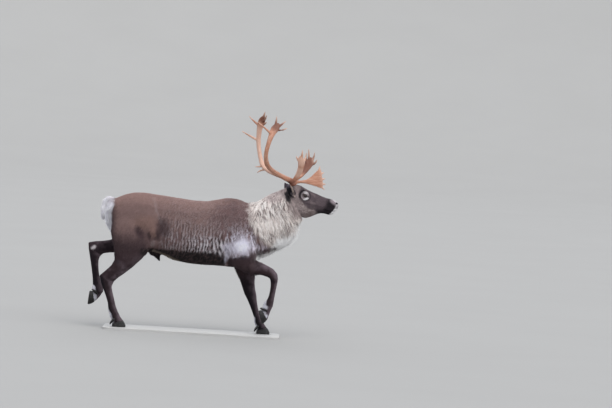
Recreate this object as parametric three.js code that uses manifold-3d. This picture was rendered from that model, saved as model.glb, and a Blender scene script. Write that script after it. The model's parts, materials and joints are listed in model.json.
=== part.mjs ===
// A reindeer bull in mid trot, life size, as a museum model on a flat display base.
// Millimetres, +Z up, nose towards +X, the animal's left side towards +Y.
// The body is lofted from edge pairs in side view, its parts are joined and then parted by thin cuts.
import * as THREE from "three";
import { mergeVertices } from "three/addons/utils/BufferGeometryUtils.js";
import Module from "manifold-3d";

const wasm = await Module();
wasm.setup();

// Driving sizes
const GAP = 0.3; // between nodes that touch
const RIGHT = -1;
const LEFT = 1;
const SIDES = [RIGHT, LEFT];
const HEAD_TURN = THREE.MathUtils.degToRad(5); // the head looks a little to the animal's left
const POLL_X = 740; // the head turns about an upright line through this point
const HOOF_SPLAY = 26; // from the foot's middle line to the middle line of each toe
const EYE_RADIUS = 24;
const BASE_LENGTH = 1500;
const BASE_WIDTH = 460;
const BASE_THICK = 20;
const BASE_CORNER = 60;

const v3 = (x, y, z) => new THREE.Vector3(x, y, z);
const X_AXIS = v3(1, 0, 0);
const Y_AXIS = v3(0, 1, 0);

// Numbers that repeat on every run
function seeded(seed) {
  let state = seed;
  return () => {
    state = (state * 1664525 + 1013904223) % 4294967296;
    return state / 4294967296;
  };
}

// A smooth curve through equally spaced values
function through(values, t) {
  const last = values.length - 1;
  const i = Math.min(last - 1, Math.max(0, Math.floor(t)));
  const u = t - i;
  const [p1, p2] = [values[i], values[i + 1]];
  const p0 = i > 0 ? values[i - 1] : 2 * p1 - p2;
  const p3 = i + 2 <= last ? values[i + 2] : 2 * p2 - p1;
  const bend = 2 * p0 - 5 * p1 + 4 * p2 - p3;
  return p1 + 0.5 * u * (p2 - p0 + u * (bend + u * (3 * (p1 - p2) + p3 - p0)));
}

// One closed surface over rings that all have the same number of points
function skinOf(rings) {
  const sides = rings[0].length;
  const points = rings.flat();
  const faces = [];
  for (let i = 0; i + 1 < rings.length; i++) {
    for (let k = 0; k < sides; k++) {
      const a = i * sides + k;
      const b = i * sides + ((k + 1) % sides);
      faces.push(a, b, b + sides, a, b + sides, a + sides);
    }
  }
  const middle = (ring) => ring.reduce((sum, p) => sum.add(p), v3(0, 0, 0)).divideScalar(sides);
  const start = points.push(middle(rings[0])) - 1;
  const end = points.push(middle(rings.at(-1))) - 1;
  const lastRing = (rings.length - 1) * sides;
  for (let k = 0; k < sides; k++) {
    const next = (k + 1) % sides;
    faces.push(start, next, k, end, lastRing + k, lastRing + next);
  }
  return new THREE.BufferGeometry().setFromPoints(points).setIndex(faces);
}

function solid(geometry) {
  const bare = geometry.clone();
  bare.deleteAttribute("normal");
  bare.deleteAttribute("uv");
  const merged = mergeVertices(bare, 1e-3);
  const make = (triVerts) =>
    new wasm.Manifold(
      new wasm.Mesh({ numProp: 3, vertProperties: merged.attributes.position.array, triVerts }),
    );
  const faces = new Uint32Array(merged.index.array);
  const made = make(faces);
  return made.volume() > 0 ? made : make(faces.reverse());
}

// The edge of a body part in side view: a front (or top) point, a back (or bottom) point, how far its
// middle lies to the side, its half width, how square its section is, and where it is widest
const STATION = ["fx", "fz", "bx", "bz", "y", "half", "square", "widest"];
const ORDINARY = { y: 0, square: 2, widest: 0.5 };

function profile(rows) {
  return STATION.map((name, i) => rows.map((row) => row[i] ?? ORDINARY[name]));
}

function profilePoint(columns, t, angle, grow = 0) {
  const [fx, fz, bx, bz, y, half, square, widest] = columns.map((values) => through(values, t));
  const up = v3(fx - bx, 0, fz - bz);
  const height = up.length() + 2 * grow;
  up.normalize();
  const c = Math.cos(angle);
  const s = Math.sin(angle);
  const across = Math.sign(c) * Math.abs(c) ** (2 / square) * (half + grow);
  const share = s > 0 ? 1 - widest : widest;
  const along = Math.sign(s) * Math.abs(s) ** (2 / square) * share * height;
  const rise = widest * height - grow;
  return v3(bx, y + across, bz).addScaledVector(up, rise + along);
}

function profileLoft(rows, sides, perStation = 1, grow = 0) {
  const columns = profile(rows);
  const count = Math.round((rows.length - 1) * perStation);
  const rings = Array.from({ length: count + 1 }, (_, i) => {
    const t = (i * (rows.length - 1)) / count;
    return Array.from({ length: sides }, (_, k) => {
      return profilePoint(columns, t, (2 * Math.PI * k) / sides, grow);
    });
  });
  return solid(skinOf(rings));
}

// A tube through rows of x, y, z and two half sizes. The first half size lies along `flat`
function tube(rows, sides, { perStation = 1, flat = Y_AXIS, grow = 0 } = {}) {
  const columns = [0, 1, 2, 3, 4].map((i) => rows.map((row) => row[i]));
  const last = rows.length - 1;
  const at = (t) => v3(...columns.slice(0, 3).map((values) => through(values, t)));
  const count = Math.round(last * perStation);
  const rings = Array.from({ length: count + 1 }, (_, i) => {
    const t = (i * last) / count;
    const along = at(Math.min(last, t + 0.05)).sub(at(Math.max(0, t - 0.05))).normalize();
    const wide = flat.clone().addScaledVector(along, -flat.dot(along)).normalize();
    const thick = along.clone().cross(wide);
    const a = Math.max(0.4, through(columns[3], t)) + grow;
    const b = Math.max(0.4, through(columns[4], t)) + grow;
    const end = Number(i === count) - Number(i === 0); // a grown tube is longer as well
    return Array.from({ length: sides }, (_, k) => {
      const angle = (2 * Math.PI * k) / sides;
      return at(t)
        .addScaledVector(along, end * grow)
        .addScaledVector(wide, a * Math.cos(angle))
        .addScaledVector(thick, b * Math.sin(angle));
    });
  });
  return solid(skinOf(rings));
}

const join = (...solids) => solids.flat(3).reduce((whole, piece) => whole.add(piece));

function largest(whole) {
  const pieces = whole.decompose();
  return pieces.reduce((best, piece) => (piece.volume() > best.volume() ? piece : best));
}

// A plane through one ring of a profile, facing along the way that the profile runs
function ringPlane(rows, t) {
  const columns = profile(rows);
  const front = profilePoint(columns, t, Math.PI / 2);
  const back = profilePoint(columns, t, -Math.PI / 2);
  const normal = Y_AXIS.clone().cross(front.clone().sub(back)).normalize();
  return { normal, offset: normal.dot(front) };
}

function beyond(whole, { normal, offset }, gap = GAP / 2) {
  return whole.trimByPlane(normal.toArray(), offset + gap);
}

function before(whole, { normal, offset }, gap = GAP / 2) {
  return whole.trimByPlane(normal.clone().negate().toArray(), gap - offset);
}

// Trunk, from the rump to the front of the chest
const TRUNK = [
  [-750, 985, -752, 915, 0, 28],
  [-744, 1040, -750, 858, 0, 82],
  [-712, 1078, -722, 795, 0, 126],
  [-655, 1110, -668, 735, 0, 152],
  [-580, 1138, -595, 700, 0, 168],
  [-490, 1152, -498, 672, 0, 177],
  [-390, 1144, -392, 652, 0, 184, 2.1, 0.46],
  [-275, 1134, -278, 624, 0, 198, 2.2, 0.45],
  [-150, 1121, -152, 583, 0, 210, 2.2, 0.45],
  [-20, 1109, -20, 563, 0, 214, 2.2, 0.45],
  [100, 1112, 100, 559, 0, 208, 2.15, 0.44],
  [195, 1137, 198, 561, 0, 194, 2.05, 0.42],
  [280, 1151, 288, 557, 0, 178, 2, 0.4],
  [365, 1138, 380, 555, 0, 164, 2, 0.42],
  [445, 1106, 468, 575, 0, 148],
  [515, 1045, 545, 625, 0, 122],
  [570, 950, 590, 710, 0, 76],
  [596, 870, 602, 800, 0, 26],
];

// Shoulder blade and upper arm, laid on the side of the trunk
const SHOULDER = [
  [330, 1040, 268, 1035, 88, 26],
  [385, 985, 222, 965, 106, 50],
  [450, 880, 212, 845, 116, 62],
  [506, 775, 248, 735, 125, 65],
  [528, 695, 296, 650, 127, 61],
  [520, 632, 328, 590, 126, 53],
  [492, 590, 362, 560, 123, 34],
];

// Fore leg that swings forward with its knee bent: forearm, knee, cannon, fetlock and pastern
const SWINGING_FORE = [
  [430, 690, 366, 566, 127, 50],
  [500, 657, 432, 527, 126, 48],
  [560, 628, 503, 514, 122, 42],
  [622, 600, 580, 508, 117, 37],
  [676, 574, 634, 494, 112, 35],
  [714, 533, 652, 480, 108, 37],
  [724, 490, 655, 463, 107, 36],
  [720, 448, 658, 432, 106, 31],
  [713, 400, 656, 390, 104, 27],
  [706, 349, 649, 345, 102, 26],
  [700, 302, 636, 306, 100, 28],
  [694, 258, 612, 284, 98, 34],
  [676, 212, 602, 240, 97, 31],
  [661, 168, 590, 205, 96, 33],
  [654, 140, 590, 175, 96, 35],
];

// Fore leg that carries the body, its hoof set down ahead of the elbow
const PLANTED_FORE = [
  [496, 700, 322, 650, 127, 54],
  [514, 604, 326, 580, 124, 53],
  [519, 530, 346, 532, 118, 49],
  [524, 450, 388, 456, 112, 43],
  [533, 378, 415, 386, 107, 40],
  [547, 330, 437, 330, 104, 40],
  [553, 285, 465, 284, 102, 35],
  [563, 235, 491, 230, 100, 29],
  [578, 185, 513, 181, 98, 27],
  [594, 142, 531, 136, 96, 29],
  [611, 108, 534, 99, 94, 35],
  [630, 80, 549, 66, 93, 34],
  [652, 52, 562, 38, 92, 38],
  [660, 30, 568, 16, 92, 38],
];

// Hind leg that carries the body: thigh, gaskin, hock, cannon, fetlock and pastern
const PLANTED_HIND = [
  [-420, 985, -625, 1010, 80, 60],
  [-374, 860, -712, 905, 100, 82],
  [-356, 752, -728, 812, 114, 80],
  [-372, 660, -708, 722, 125, 70],
  [-440, 580, -684, 640, 123, 58],
  [-514, 508, -674, 572, 119, 48],
  [-573, 457, -700, 520, 114, 42],
  [-628, 414, -746, 474, 110, 39],
  [-666, 376, -796, 428, 107, 38],
  [-680, 336, -782, 370, 105, 33],
  [-668, 285, -757, 312, 103, 29],
  [-652, 231, -731, 252, 100, 28],
  [-638, 178, -711, 194, 98, 29],
  [-619, 132, -703, 140, 96, 35],
  [-598, 92, -688, 88, 95, 35],
  [-568, 54, -665, 42, 94, 38],
  [-560, 30, -658, 16, 94, 38],
];

// Hind leg that swings, held out behind with its hock bent
const SWINGING_HIND = [
  [-430, 970, -625, 1010, 80, 60],
  [-388, 850, -712, 905, 100, 82],
  [-392, 745, -738, 822, 114, 78],
  [-462, 664, -734, 768, 125, 66],
  [-556, 624, -706, 742, 124, 54],
  [-640, 614, -735, 726, 120, 46],
  [-718, 610, -790, 715, 116, 41],
  [-778, 600, -852, 708, 113, 39],
  [-806, 575, -918, 694, 110, 39],
  [-816, 540, -914, 640, 108, 35],
  [-814, 500, -898, 566, 106, 31],
  [-808, 445, -880, 480, 104, 28],
  [-792, 380, -866, 398, 102, 28],
  [-764, 322, -857, 334, 100, 32],
  [-762, 280, -864, 302, 99, 35],
  [-785, 238, -880, 280, 98, 33],
  [-812, 205, -876, 252, 97, 35],
  [-832, 195, -892, 238, 97, 35],
];

// Neck without its mane, from inside the chest to inside the head
const NECK = [
  [330, 1080, 420, 650, 0, 110],
  [432, 1118, 508, 662, 0, 146],
  [506, 1134, 600, 702, 0, 148, 2, 0.45],
  [560, 1170, 680, 748, 0, 139, 2, 0.45],
  [612, 1204, 750, 808, 0, 127, 2, 0.47],
  [662, 1228, 806, 878, 0, 114, 2, 0.5],
  [708, 1252, 846, 942, 3, 104],
  [755, 1274, 876, 998, 7, 93],
  [800, 1285, 900, 1040, 12, 80],
];

// Head from the poll to the nose, before it is turned
const HEAD = [
  [742, 1268, 818, 1050, 0, 80],
  [788, 1292, 862, 1014, 0, 88, 2.1, 0.52],
  [836, 1297, 908, 1006, 0, 91, 2.2, 0.56],
  [880, 1279, 950, 1016, 0, 89, 2.3, 0.6],
  [922, 1259, 988, 1033, 0, 81, 2.3, 0.6],
  [965, 1240, 1022, 1050, 0, 70, 2.4, 0.58],
  [1010, 1224, 1052, 1057, 0, 60, 2.4, 0.55],
  [1055, 1207, 1084, 1056, 0, 54, 2.4, 0.5],
  [1100, 1192, 1113, 1049, 0, 51, 2.5, 0.5],
  [1140, 1187, 1138, 1048, 0, 52, 2.5, 0.56],
  [1170, 1179, 1160, 1062, 0, 49, 2.5, 0.58],
  [1190, 1164, 1178, 1088, 0, 41, 2.4],
  [1200, 1142, 1194, 1116, 0, 21],
];

// Cuts between neck and torso, and between head and neck
const NECK_CUT = { normal: v3(0.982, 0, 0.1875).normalize(), offset: 0 };
NECK_CUT.offset = NECK_CUT.normal.dot(v3(456, 0, 1150));
const HEAD_CUT = { normal: v3(0.859, 0, 0.512).normalize(), offset: 0 };
HEAD_CUT.offset = HEAD_CUT.normal.dot(v3(735, 0, 1290));

const onSide = (rows, side) => rows.map((row) => row.with(4, side * row[4]));

// The head is made looking straight ahead and then turned about the poll
const headMatrix = new THREE.Matrix4()
  .makeTranslation(POLL_X, 0, 0)
  .multiply(new THREE.Matrix4().makeRotationZ(HEAD_TURN))
  .multiply(new THREE.Matrix4().makeTranslation(-POLL_X, 0, 0));
const turned = (whole) => whole.transform(headMatrix.toArray());

// One toe in its own frame: sole on z = 0, toe tip towards +x, its inner edge nearly straight. y is how far
// each section lies from the toe's middle line
const TOE = [
  [-57, 22, -57, 0, -2, 8.5],
  [-49, 52, -51, 0, 0, 18.5],
  [-27, 66, -27, 0, 2, 22.5],
  [1, 72, 1, 0, 3, 23.5],
  [28, 58, 28, 0, 1, 21.5],
  [46, 36, 47, 0, -3, 15.5],
  [57, 14, 57, 0, -8, 7.5],
];
const TOE_SQUARE = 2.4;
const TOE_WIDEST = 0; // on the sole
const CORONET_HEIGHT = 45;
const CORONET_NORMAL = v3(-0.3, 0, 0.954).normalize();

const DEWCLAW = [
  [-38, 27, 70, 9, 9],
  [-50, 29, 58, 15, 12],
  [-62, 30, 42, 16, 12],
  [-71, 31, 26, 11, 8],
  [-75, 31, 15, 4, 3],
];

// Two toes, two dewclaws and the cut of the pastern, placed by the sole's middle and the toe's direction
function foot({ x, y, z, pitch }) {
  const place = new THREE.Matrix4()
    .makeTranslation(x, y, z)
    .multiply(new THREE.Matrix4().makeRotationY(pitch));
  const set = (whole) => whole.transform(place.toArray());
  const toe = (side) => {
    const rows = TOE.map(([fx, fz, bx, bz, ty, half]) => {
      return [fx, fz, bx, bz, side * (HOOF_SPLAY + ty), half, TOE_SQUARE, TOE_WIDEST];
    });
    return profileLoft(rows, 8);
  };
  const dewclaw = (side, grow) => {
    const rows = DEWCLAW.map(([cx, cy, cz, a, b]) => [cx, side * cy, cz, a, b]);
    return tube(rows, 5, { grow });
  };
  const normal = CORONET_NORMAL.clone().transformDirection(place);
  const cut = { normal, offset: normal.dot(v3(0, 0, CORONET_HEIGHT).applyMatrix4(place)) };
  const sides = { r: RIGHT, l: LEFT };
  const toes = Object.fromEntries(
    Object.entries(sides).map(([name, side]) => [name, before(set(toe(side)), cut)]),
  );
  const claws = Object.fromEntries(
    Object.entries(sides).map(([name, side]) => [name, set(dewclaw(side, 0))]),
  );
  const room = join(Object.values(sides).map((side) => set(dewclaw(side, GAP))));
  return { toes, claws, room, cut };
}

const nodes = {};

const LEG_SIDES = 12;

// A leg is one loft, parted at the body, at knee or hock, at the fetlock and at the coronet
function leg(name, rows, side, cuts, hoof) {
  const own = onSide(rows, side);
  const whole = profileLoft(own, LEG_SIDES);
  const grown = profileLoft(own, LEG_SIDES, 1, GAP);
  const planes = cuts.map((t) => ringPlane(own, t));
  const made = foot({ ...hoof, y: side * hoof.y });
  nodes[`${name}_upper`] = before(beyond(whole, planes[0]), planes[1]);
  nodes[`${name}_cannon`] = before(beyond(whole, planes[1]), planes[2]);
  const pastern = beyond(beyond(whole, planes[2]), made.cut);
  nodes[`${name}_pastern`] = largest(pastern.subtract(made.room));
  for (const [key, toe] of Object.entries(made.toes)) nodes[`${name}_toe_${key}`] = toe;
  for (const [key, claw] of Object.entries(made.claws)) {
    nodes[`${name}_dewclaw_${key}`] = largest(claw.subtract(join(Object.values(made.toes))));
  }
  return { root: before(whole, planes[0]), room: beyond(grown, planes[0], -GAP / 2) };
}

const PITCH_FORE = THREE.MathUtils.degToRad(73.5); // toes hang under the lifted fore leg
const PITCH_HIND = THREE.MathUtils.degToRad(95.5); // toes trail behind the lifted hind leg
const legs = [
  leg("fore_right", SWINGING_FORE, RIGHT, [1.6, 5.5, 10.6], { x: 589, y: 96, z: 152, pitch: PITCH_FORE }),
  leg("fore_left", PLANTED_FORE, LEFT, [1.6, 5.2, 9.5], { x: 618, y: 92, z: 0, pitch: 0 }),
  leg("hind_right", PLANTED_HIND, RIGHT, [3.0, 8.4, 12.6], { x: -604, y: 94, z: 0, pitch: 0 }),
  leg("hind_left", SWINGING_HIND, LEFT, [3.0, 8.3, 13.3], { x: -884, y: 97, z: 221, pitch: PITCH_HIND }),
];

// Tail: a short core with pale locks that hang and stand off the rump
const TAIL = [
  [-716, 0, 1066, 20, 18],
  [-748, 0, 1076, 26, 21],
  [-774, 0, 1062, 29, 22],
  [-788, 0, 1014, 28, 19],
  [-785, 0, 965, 19, 14],
  [-779, 0, 930, 7, 6],
];
const TAIL_CUT = { normal: v3(-1, 0, 0), offset: 724 };
const TAIL_SIDES = 8;

// A flat, tapered lock from `root` along `along`, sagging by `drop` of its length, its width along `flat`
function lock(root, along, length, width, thick, drop, flat) {
  const shares = [-0.14, 0.2, 0.65, 1];
  const wide = [0.4, 0.5, 0.38, 0.06];
  const deep = [0.5, 0.5, 0.38, 0.08];
  const rows = shares.map((share, i) => {
    const sag = Math.max(0, share) ** 2 * drop * length;
    const p = root.clone().addScaledVector(along, share * length);
    return [p.x, p.y, p.z - sag, wide[i] * width, deep[i] * thick];
  });
  return tube(rows, 4, { flat });
}

function tail() {
  const draw = seeded(7);
  const locks = [];
  const ROWS = 3;
  const AROUND = 4;
  for (let row = 0; row < ROWS; row++) {
    for (let k = 0; k < AROUND; k++) {
      const around = ((k + (row % 2) / 2) / (AROUND - 0.5) - 0.5) * Math.PI * 1.1;
      const out = v3(-Math.cos(around), Math.sin(around), 0);
      const root = v3(-774, 0, 1056 - row * 42).addScaledVector(out, 13);
      const along = out.clone().multiplyScalar(0.3 + 0.1 * draw()).add(v3(0, 0, -1)).normalize();
      const flat = v3(0, 0, 1).cross(out).normalize();
      locks.push(lock(root, along, 84 + 16 * draw(), 40, 14, 0.05, flat));
    }
  }
  return beyond(join(tube(TAIL, TAIL_SIDES), locks), TAIL_CUT);
}

// Torso: trunk, shoulders, the roots of the legs and the sheath under the belly
const SHEATH = [
  [-372, 0, 665, 34, 40],
  [-330, 0, 628, 26, 32],
  [-300, 0, 590, 17, 20],
  [-281, 0, 558, 8, 9],
];
const shoulders = SIDES.map((side) => profileLoft(onSide(SHOULDER, side), 12, 1.4));
const trunk = profileLoft(TRUNK, 20, 1.1);
const neckCore = profileLoft(NECK, 16, 1.1);
const core = join(trunk, neckCore, shoulders, tube(SHEATH, 8, { perStation: 1.5 }));
const torsoWhole = join(core, legs.map((made) => made.root));
nodes.tail = tail();
const tailRoom = tube(TAIL, TAIL_SIDES, { grow: GAP });
const legRoom = join(legs.map((made) => made.room));
nodes.torso = largest(before(torsoWhole, NECK_CUT).subtract(tailRoom).subtract(legRoom));
nodes.tail = largest(nodes.tail.subtract(nodes.torso));

// Mane: locks in rows down the throat and the sides of the neck, longest under the throat
const MANE_ROWS = 6;
const MANE_FROM = 2.8; // station of the neck where the lowest row grows
const MANE_TO = 7.4;
const MANE_REACH = THREE.MathUtils.degToRad(70); // how far up the sides the locks grow
function mane() {
  const draw = seeded(21);
  const columns = profile(NECK);
  const locks = [];
  for (let row = 0; row < MANE_ROWS; row++) {
    const share = row / (MANE_ROWS - 1);
    const t = MANE_FROM + (MANE_TO - MANE_FROM) * share;
    const count = row % 2 ? 4 : 5;
    for (let k = 0; k < count; k++) {
      const side = ((k + 0.5) / count) * 2 - 1;
      const angle = -Math.PI / 2 + side * MANE_REACH;
      const root = profilePoint(columns, t, angle);
      const lie = root.clone().sub(profilePoint(columns, t + 0.1, angle)).normalize();
      const across = profilePoint(columns, t, angle + 0.05).sub(root).normalize();
      const out = across.clone().cross(lie).normalize();
      if (out.dot(v3(0, side, -1)) < 0) out.negate();
      const under = Math.max(0, 1 - 1.4 * Math.abs(side));
      const along = lie.clone().multiplyScalar(0.9).addScaledVector(out, 0.16 + 0.26 * under);
      along.add(v3(0, 0, -0.25)).normalize();
      const mid = Math.sin(Math.PI * Math.min(1, share + 0.15));
      const length = (82 + 46 * mid) * (0.92 + 0.16 * draw());
      const edgeOn = across.clone().lerp(out, 0.75 * under).normalize();
      locks.push(lock(root, along, length, 72, 24, 0.1, edgeOn));
    }
  }
  return locks;
}
const aheadOfTorso = beyond(neckCore.add(trunk), NECK_CUT);
const neckBody = before(aheadOfTorso, HEAD_CUT);
const hair = before(beyond(join(mane()), NECK_CUT), HEAD_CUT);
const neckWhole = neckBody.add(hair).subtract(legRoom);

// Eye, its socket and its two lids, for one side of the head
const EYE = { x: 899, y: 68, z: 1205 };
const EYE_TILT = 0.3; // the front corner lies lower than the back one
function ball(side, grow) {
  const shape = new THREE.SphereGeometry(EYE_RADIUS + grow, 12, 8);
  shape.rotateX(Math.PI / 2).translate(EYE.x, side * EYE.y, EYE.z);
  return solid(shape);
}

// A lid runs over the ball from corner to corner, and `opening` says how far it stands from the middle
function lid(side, opening, fat) {
  const STEPS = 5;
  const ahead = v3(1, 0, -EYE_TILT).normalize();
  const upward = v3(EYE_TILT, 0, 1).normalize();
  const rows = Array.from({ length: STEPS + 1 }, (_, i) => {
    const angle = (Math.PI * i) / STEPS;
    const p = v3(0, side, 0)
      .addScaledVector(ahead, 1.8 * Math.cos(angle))
      .addScaledVector(upward, opening * Math.sin(angle))
      .setLength(EYE_RADIUS + 1)
      .add(v3(EYE.x, side * EYE.y, EYE.z));
    const half = fat * (0.6 + 0.4 * Math.sin(angle));
    return [p.x, p.y, p.z, half, half];
  });
  return tube(rows, 5);
}

function brow(side) {
  const rows = [
    [946, side * 64, 1196, 5, 5],
    [924, side * 67, 1222, 12, 11],
    [894, side * 67, 1236, 16, 14],
    [864, side * 70, 1231, 14, 12],
    [840, side * 74, 1210, 7, 7],
  ];
  return tube(rows, 6);
}

// Ear: a cupped leaf with its opening to the side
const EAR = [
  [816, 60, 1172, 19, 16],
  [802, 82, 1198, 27, 19],
  [783, 102, 1226, 34, 19],
  [763, 116, 1255, 31, 15],
  [748, 124, 1280, 19, 9],
  [738, 128, 1298, 5, 4],
];
function ear(side, grow) {
  const rows = EAR.map(([x, y, z, a, b]) => [x, side * y, z, a, b]);
  const flat = v3(1, side * 0.25, 0.55).normalize();
  const leaf = tube(rows, 9, { perStation: 1.2, flat, grow });
  if (grow) return leaf;
  const inward = EAR.slice(1).map(([x, y, z, a, b]) => {
    return [x + 5, side * (y + 10), z + 3, Math.max(1, a - 7), Math.max(1, b - 4)];
  });
  return leaf.subtract(tube(inward, 7, { perStation: 1.25, flat }));
}

// The line of the mouth, as places on the head: a station and an angle in degrees from the corner of the
// mouth to the middle of the lips. `side` of 1 gives the upper lip, -1 the lower lip and 0 the groove
const MOUTH = [
  [7.3, -30],
  [8.9, -34],
  [10.3, -45],
  [11.1, -63],
  [11.4, -90],
];
function mouthLine(side, half, depth) {
  const columns = profile(HEAD);
  const leftHalf = MOUTH.map(([t, degrees], i) => {
    const front = i / (MOUTH.length - 1);
    const angle = THREE.MathUtils.degToRad(degrees + side * 11 * (1 - front));
    return [t + side * 0.3 * front, angle];
  });
  const rightHalf = leftHalf.map(([t, angle]) => [t, -Math.PI - angle]);
  const path = [...rightHalf, ...leftHalf.slice(0, -1).reverse()];
  const rows = path.map(([t, angle], i) => {
    const p = profilePoint(columns, t, angle, -depth);
    const fat = i % (path.length - 1) ? half : half / 2;
    return [p.x, p.y, p.z, fat, fat];
  });
  return tube(rows, 4, { flat: v3(0, 0, 1) });
}

function nostril(side) {
  const rows = [
    [1150, side * 16, 1144, 5, 5],
    [1164, side * 28, 1150, 9, 7],
    [1174, side * 41, 1153, 11, 8],
    [1182, side * 55, 1152, 11, 8],
  ];
  return tube(rows, 7, { flat: v3(0, 0, 1) });
}

// A short bony foot of the antler, grown over with skin
const pedicle = (side) => {
  return tube([[806, side * 40, 1262, 30, 28], [801, side * 42, 1285, 27, 25], [795, side * 45, 1303, 25, 23]], 12);
};

const UPPER_LID = 0.78;
const LOWER_LID = -0.64;
const face = SIDES.flatMap((side) => [
  pedicle(side),
  brow(side),
  lid(side, UPPER_LID, 7.5),
  lid(side, LOWER_LID, 5.5),
]);
const lips = [mouthLine(1, 7, 4.5), mouthLine(-1, 6.5, 4.5)];
const headShape = join(profileLoft(HEAD, 18, 1.2), face, lips)
  .subtract(join(SIDES.map((side) => ball(side, GAP))))
  .subtract(join(SIDES.map((side) => ear(side, GAP))))
  .subtract(join(SIDES.map((side) => nostril(side))))
  .subtract(mouthLine(0, 3, -1));

const earRoom = turned(join(SIDES.map((side) => ear(side, GAP))));
nodes.neck = largest(neckWhole.subtract(earRoom));
nodes.eye_right = turned(ball(RIGHT, 0));
nodes.eye_left = turned(ball(LEFT, 0));
nodes.ear_right = turned(largest(ear(RIGHT, 0)));
nodes.ear_left = turned(largest(ear(LEFT, 0)));

// Antlers. Each branch is a tube through rows of x, y, z and two half sizes, in the turned head's place
const RIGHT_BEAM_LOW = [
  [806, -37, 1290, 30, 29],
  [798, -42, 1308, 31, 30],
  [782, -50, 1320, 23, 22],
  [736, -85, 1340, 21, 20],
  [679, -140, 1368, 20, 19],
  [614, -215, 1405, 20, 18],
  [575, -272, 1446, 21, 17],
  [562, -300, 1482, 19, 17],
];
const RIGHT_BEAM_HIGH = [
  [575, -272, 1446, 21, 17],
  [562, -300, 1482, 19, 17],
  [556, -332, 1546, 17, 16],
  [570, -348, 1617, 18, 15],
  [588, -345, 1688, 22, 14],
  [606, -328, 1735, 30, 12],
  [624, -312, 1766, 36, 10],
  [640, -301, 1790, 21, 8],
  [648, -294, 1806, 7, 4],
];
const RIGHT_PALM_TINES = [
  [[618, -318, 1750, 15, 9], [624, -300, 1800, 12, 8], [628, -288, 1864, 3, 3]],
  [[632, -310, 1762, 15, 9], [664, -292, 1790, 11, 8], [708, -268, 1828, 3, 3]],
  [[630, -312, 1752, 14, 9], [672, -300, 1748, 10, 8], [722, -282, 1770, 3, 3]],
];
const RIGHT_BACK_TINES = [
  [[598, -338, 1706, 13, 11], [562, -348, 1738, 10, 9], [474, -338, 1806, 3, 3]],
];
const LEFT_BEAM_LOW = [
  [799, 47, 1290, 30, 29],
  [791, 51, 1308, 31, 30],
  [770, 62, 1322, 23, 22],
  [715, 100, 1346, 21, 20],
  [641, 165, 1368, 20, 19],
  [570, 228, 1394, 20, 18],
  [530, 266, 1434, 21, 17],
  [511, 290, 1474, 19, 17],
];
const LEFT_BEAM_HIGH = [
  [530, 266, 1434, 21, 17],
  [511, 290, 1474, 19, 17],
  [489, 315, 1558, 17, 16],
  [478, 325, 1638, 19, 16],
  [479, 320, 1700, 21, 16],
  [482, 312, 1742, 24, 17],
  [489, 299, 1778, 30, 14],
  [498, 284, 1812, 31, 10],
  [509, 270, 1846, 17, 7],
];
const LEFT_BACK_TINES = [
  [[548, 252, 1422, 12, 11], [510, 276, 1420, 9, 8], [465, 292, 1415, 3, 3]],
  [[556, 244, 1400, 12, 11], [520, 262, 1390, 8, 8], [484, 276, 1367, 3, 3]],
  [[474, 322, 1645, 13, 11], [430, 332, 1662, 10, 9], [333, 345, 1711, 3, 3]],
  [[480, 308, 1768, 13, 11], [440, 320, 1796, 9, 8], [385, 330, 1844, 3, 3]],
];
const LEFT_PALM_TINES = [
  [[504, 276, 1828, 13, 9], [514, 264, 1858, 11, 8], [521, 252, 1891, 3, 3]],
  [[510, 276, 1806, 13, 9], [524, 240, 1826, 10, 8], [538, 200, 1862, 3, 3]],
  [[504, 286, 1778, 12, 9], [524, 248, 1786, 10, 8], [540, 205, 1806, 3, 3]],
];
const RIGHT_BEZ = [
  [790, -50, 1312, 18, 16],
  [822, -72, 1352, 19, 15],
  [846, -104, 1402, 23, 12],
  [858, -130, 1450, 26, 10],
  [858, -146, 1494, 30, 9],
  [850, -154, 1526, 21, 7],
  [847, -156, 1541, 7, 4],
];
const RIGHT_BEZ_TINES = [
  [[842, -146, 1490, 13, 8], [824, -150, 1512, 9, 7], [811, -150, 1538, 3, 3]],
  [[858, -148, 1506, 15, 8], [860, -158, 1548, 10, 7], [861, -160, 1591, 3, 3]],
  [[872, -140, 1490, 12, 7], [888, -140, 1514, 9, 6], [892, -134, 1546, 3, 3]],
];
const LEFT_BEZ = [
  [784, 60, 1314, 18, 16],
  [836, 78, 1346, 19, 14],
  [880, 104, 1394, 28, 11],
  [908, 130, 1442, 40, 9],
  [926, 148, 1482, 44, 8],
  [934, 156, 1510, 29, 7],
  [938, 158, 1527, 9, 4],
];
const LEFT_BEZ_TINES = [
  [[910, 142, 1462, 13, 7], [892, 156, 1516, 10, 7], [898, 164, 1562, 3, 3]],
  [[924, 148, 1478, 13, 7], [917, 164, 1540, 10, 7], [914, 170, 1597, 3, 3]],
  [[942, 152, 1488, 14, 8], [960, 158, 1526, 9, 7], [966, 156, 1572, 3, 3]],
  [[946, 146, 1466, 13, 8], [976, 146, 1482, 9, 7], [990, 140, 1512, 3, 3]],
];
const LEFT_BROW = [
  [782, 58, 1308, 15, 15],
  [838, 62, 1312, 12, 12],
  [896, 64, 1324, 9, 9],
  [952, 62, 1352, 3, 3],
];

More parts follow.
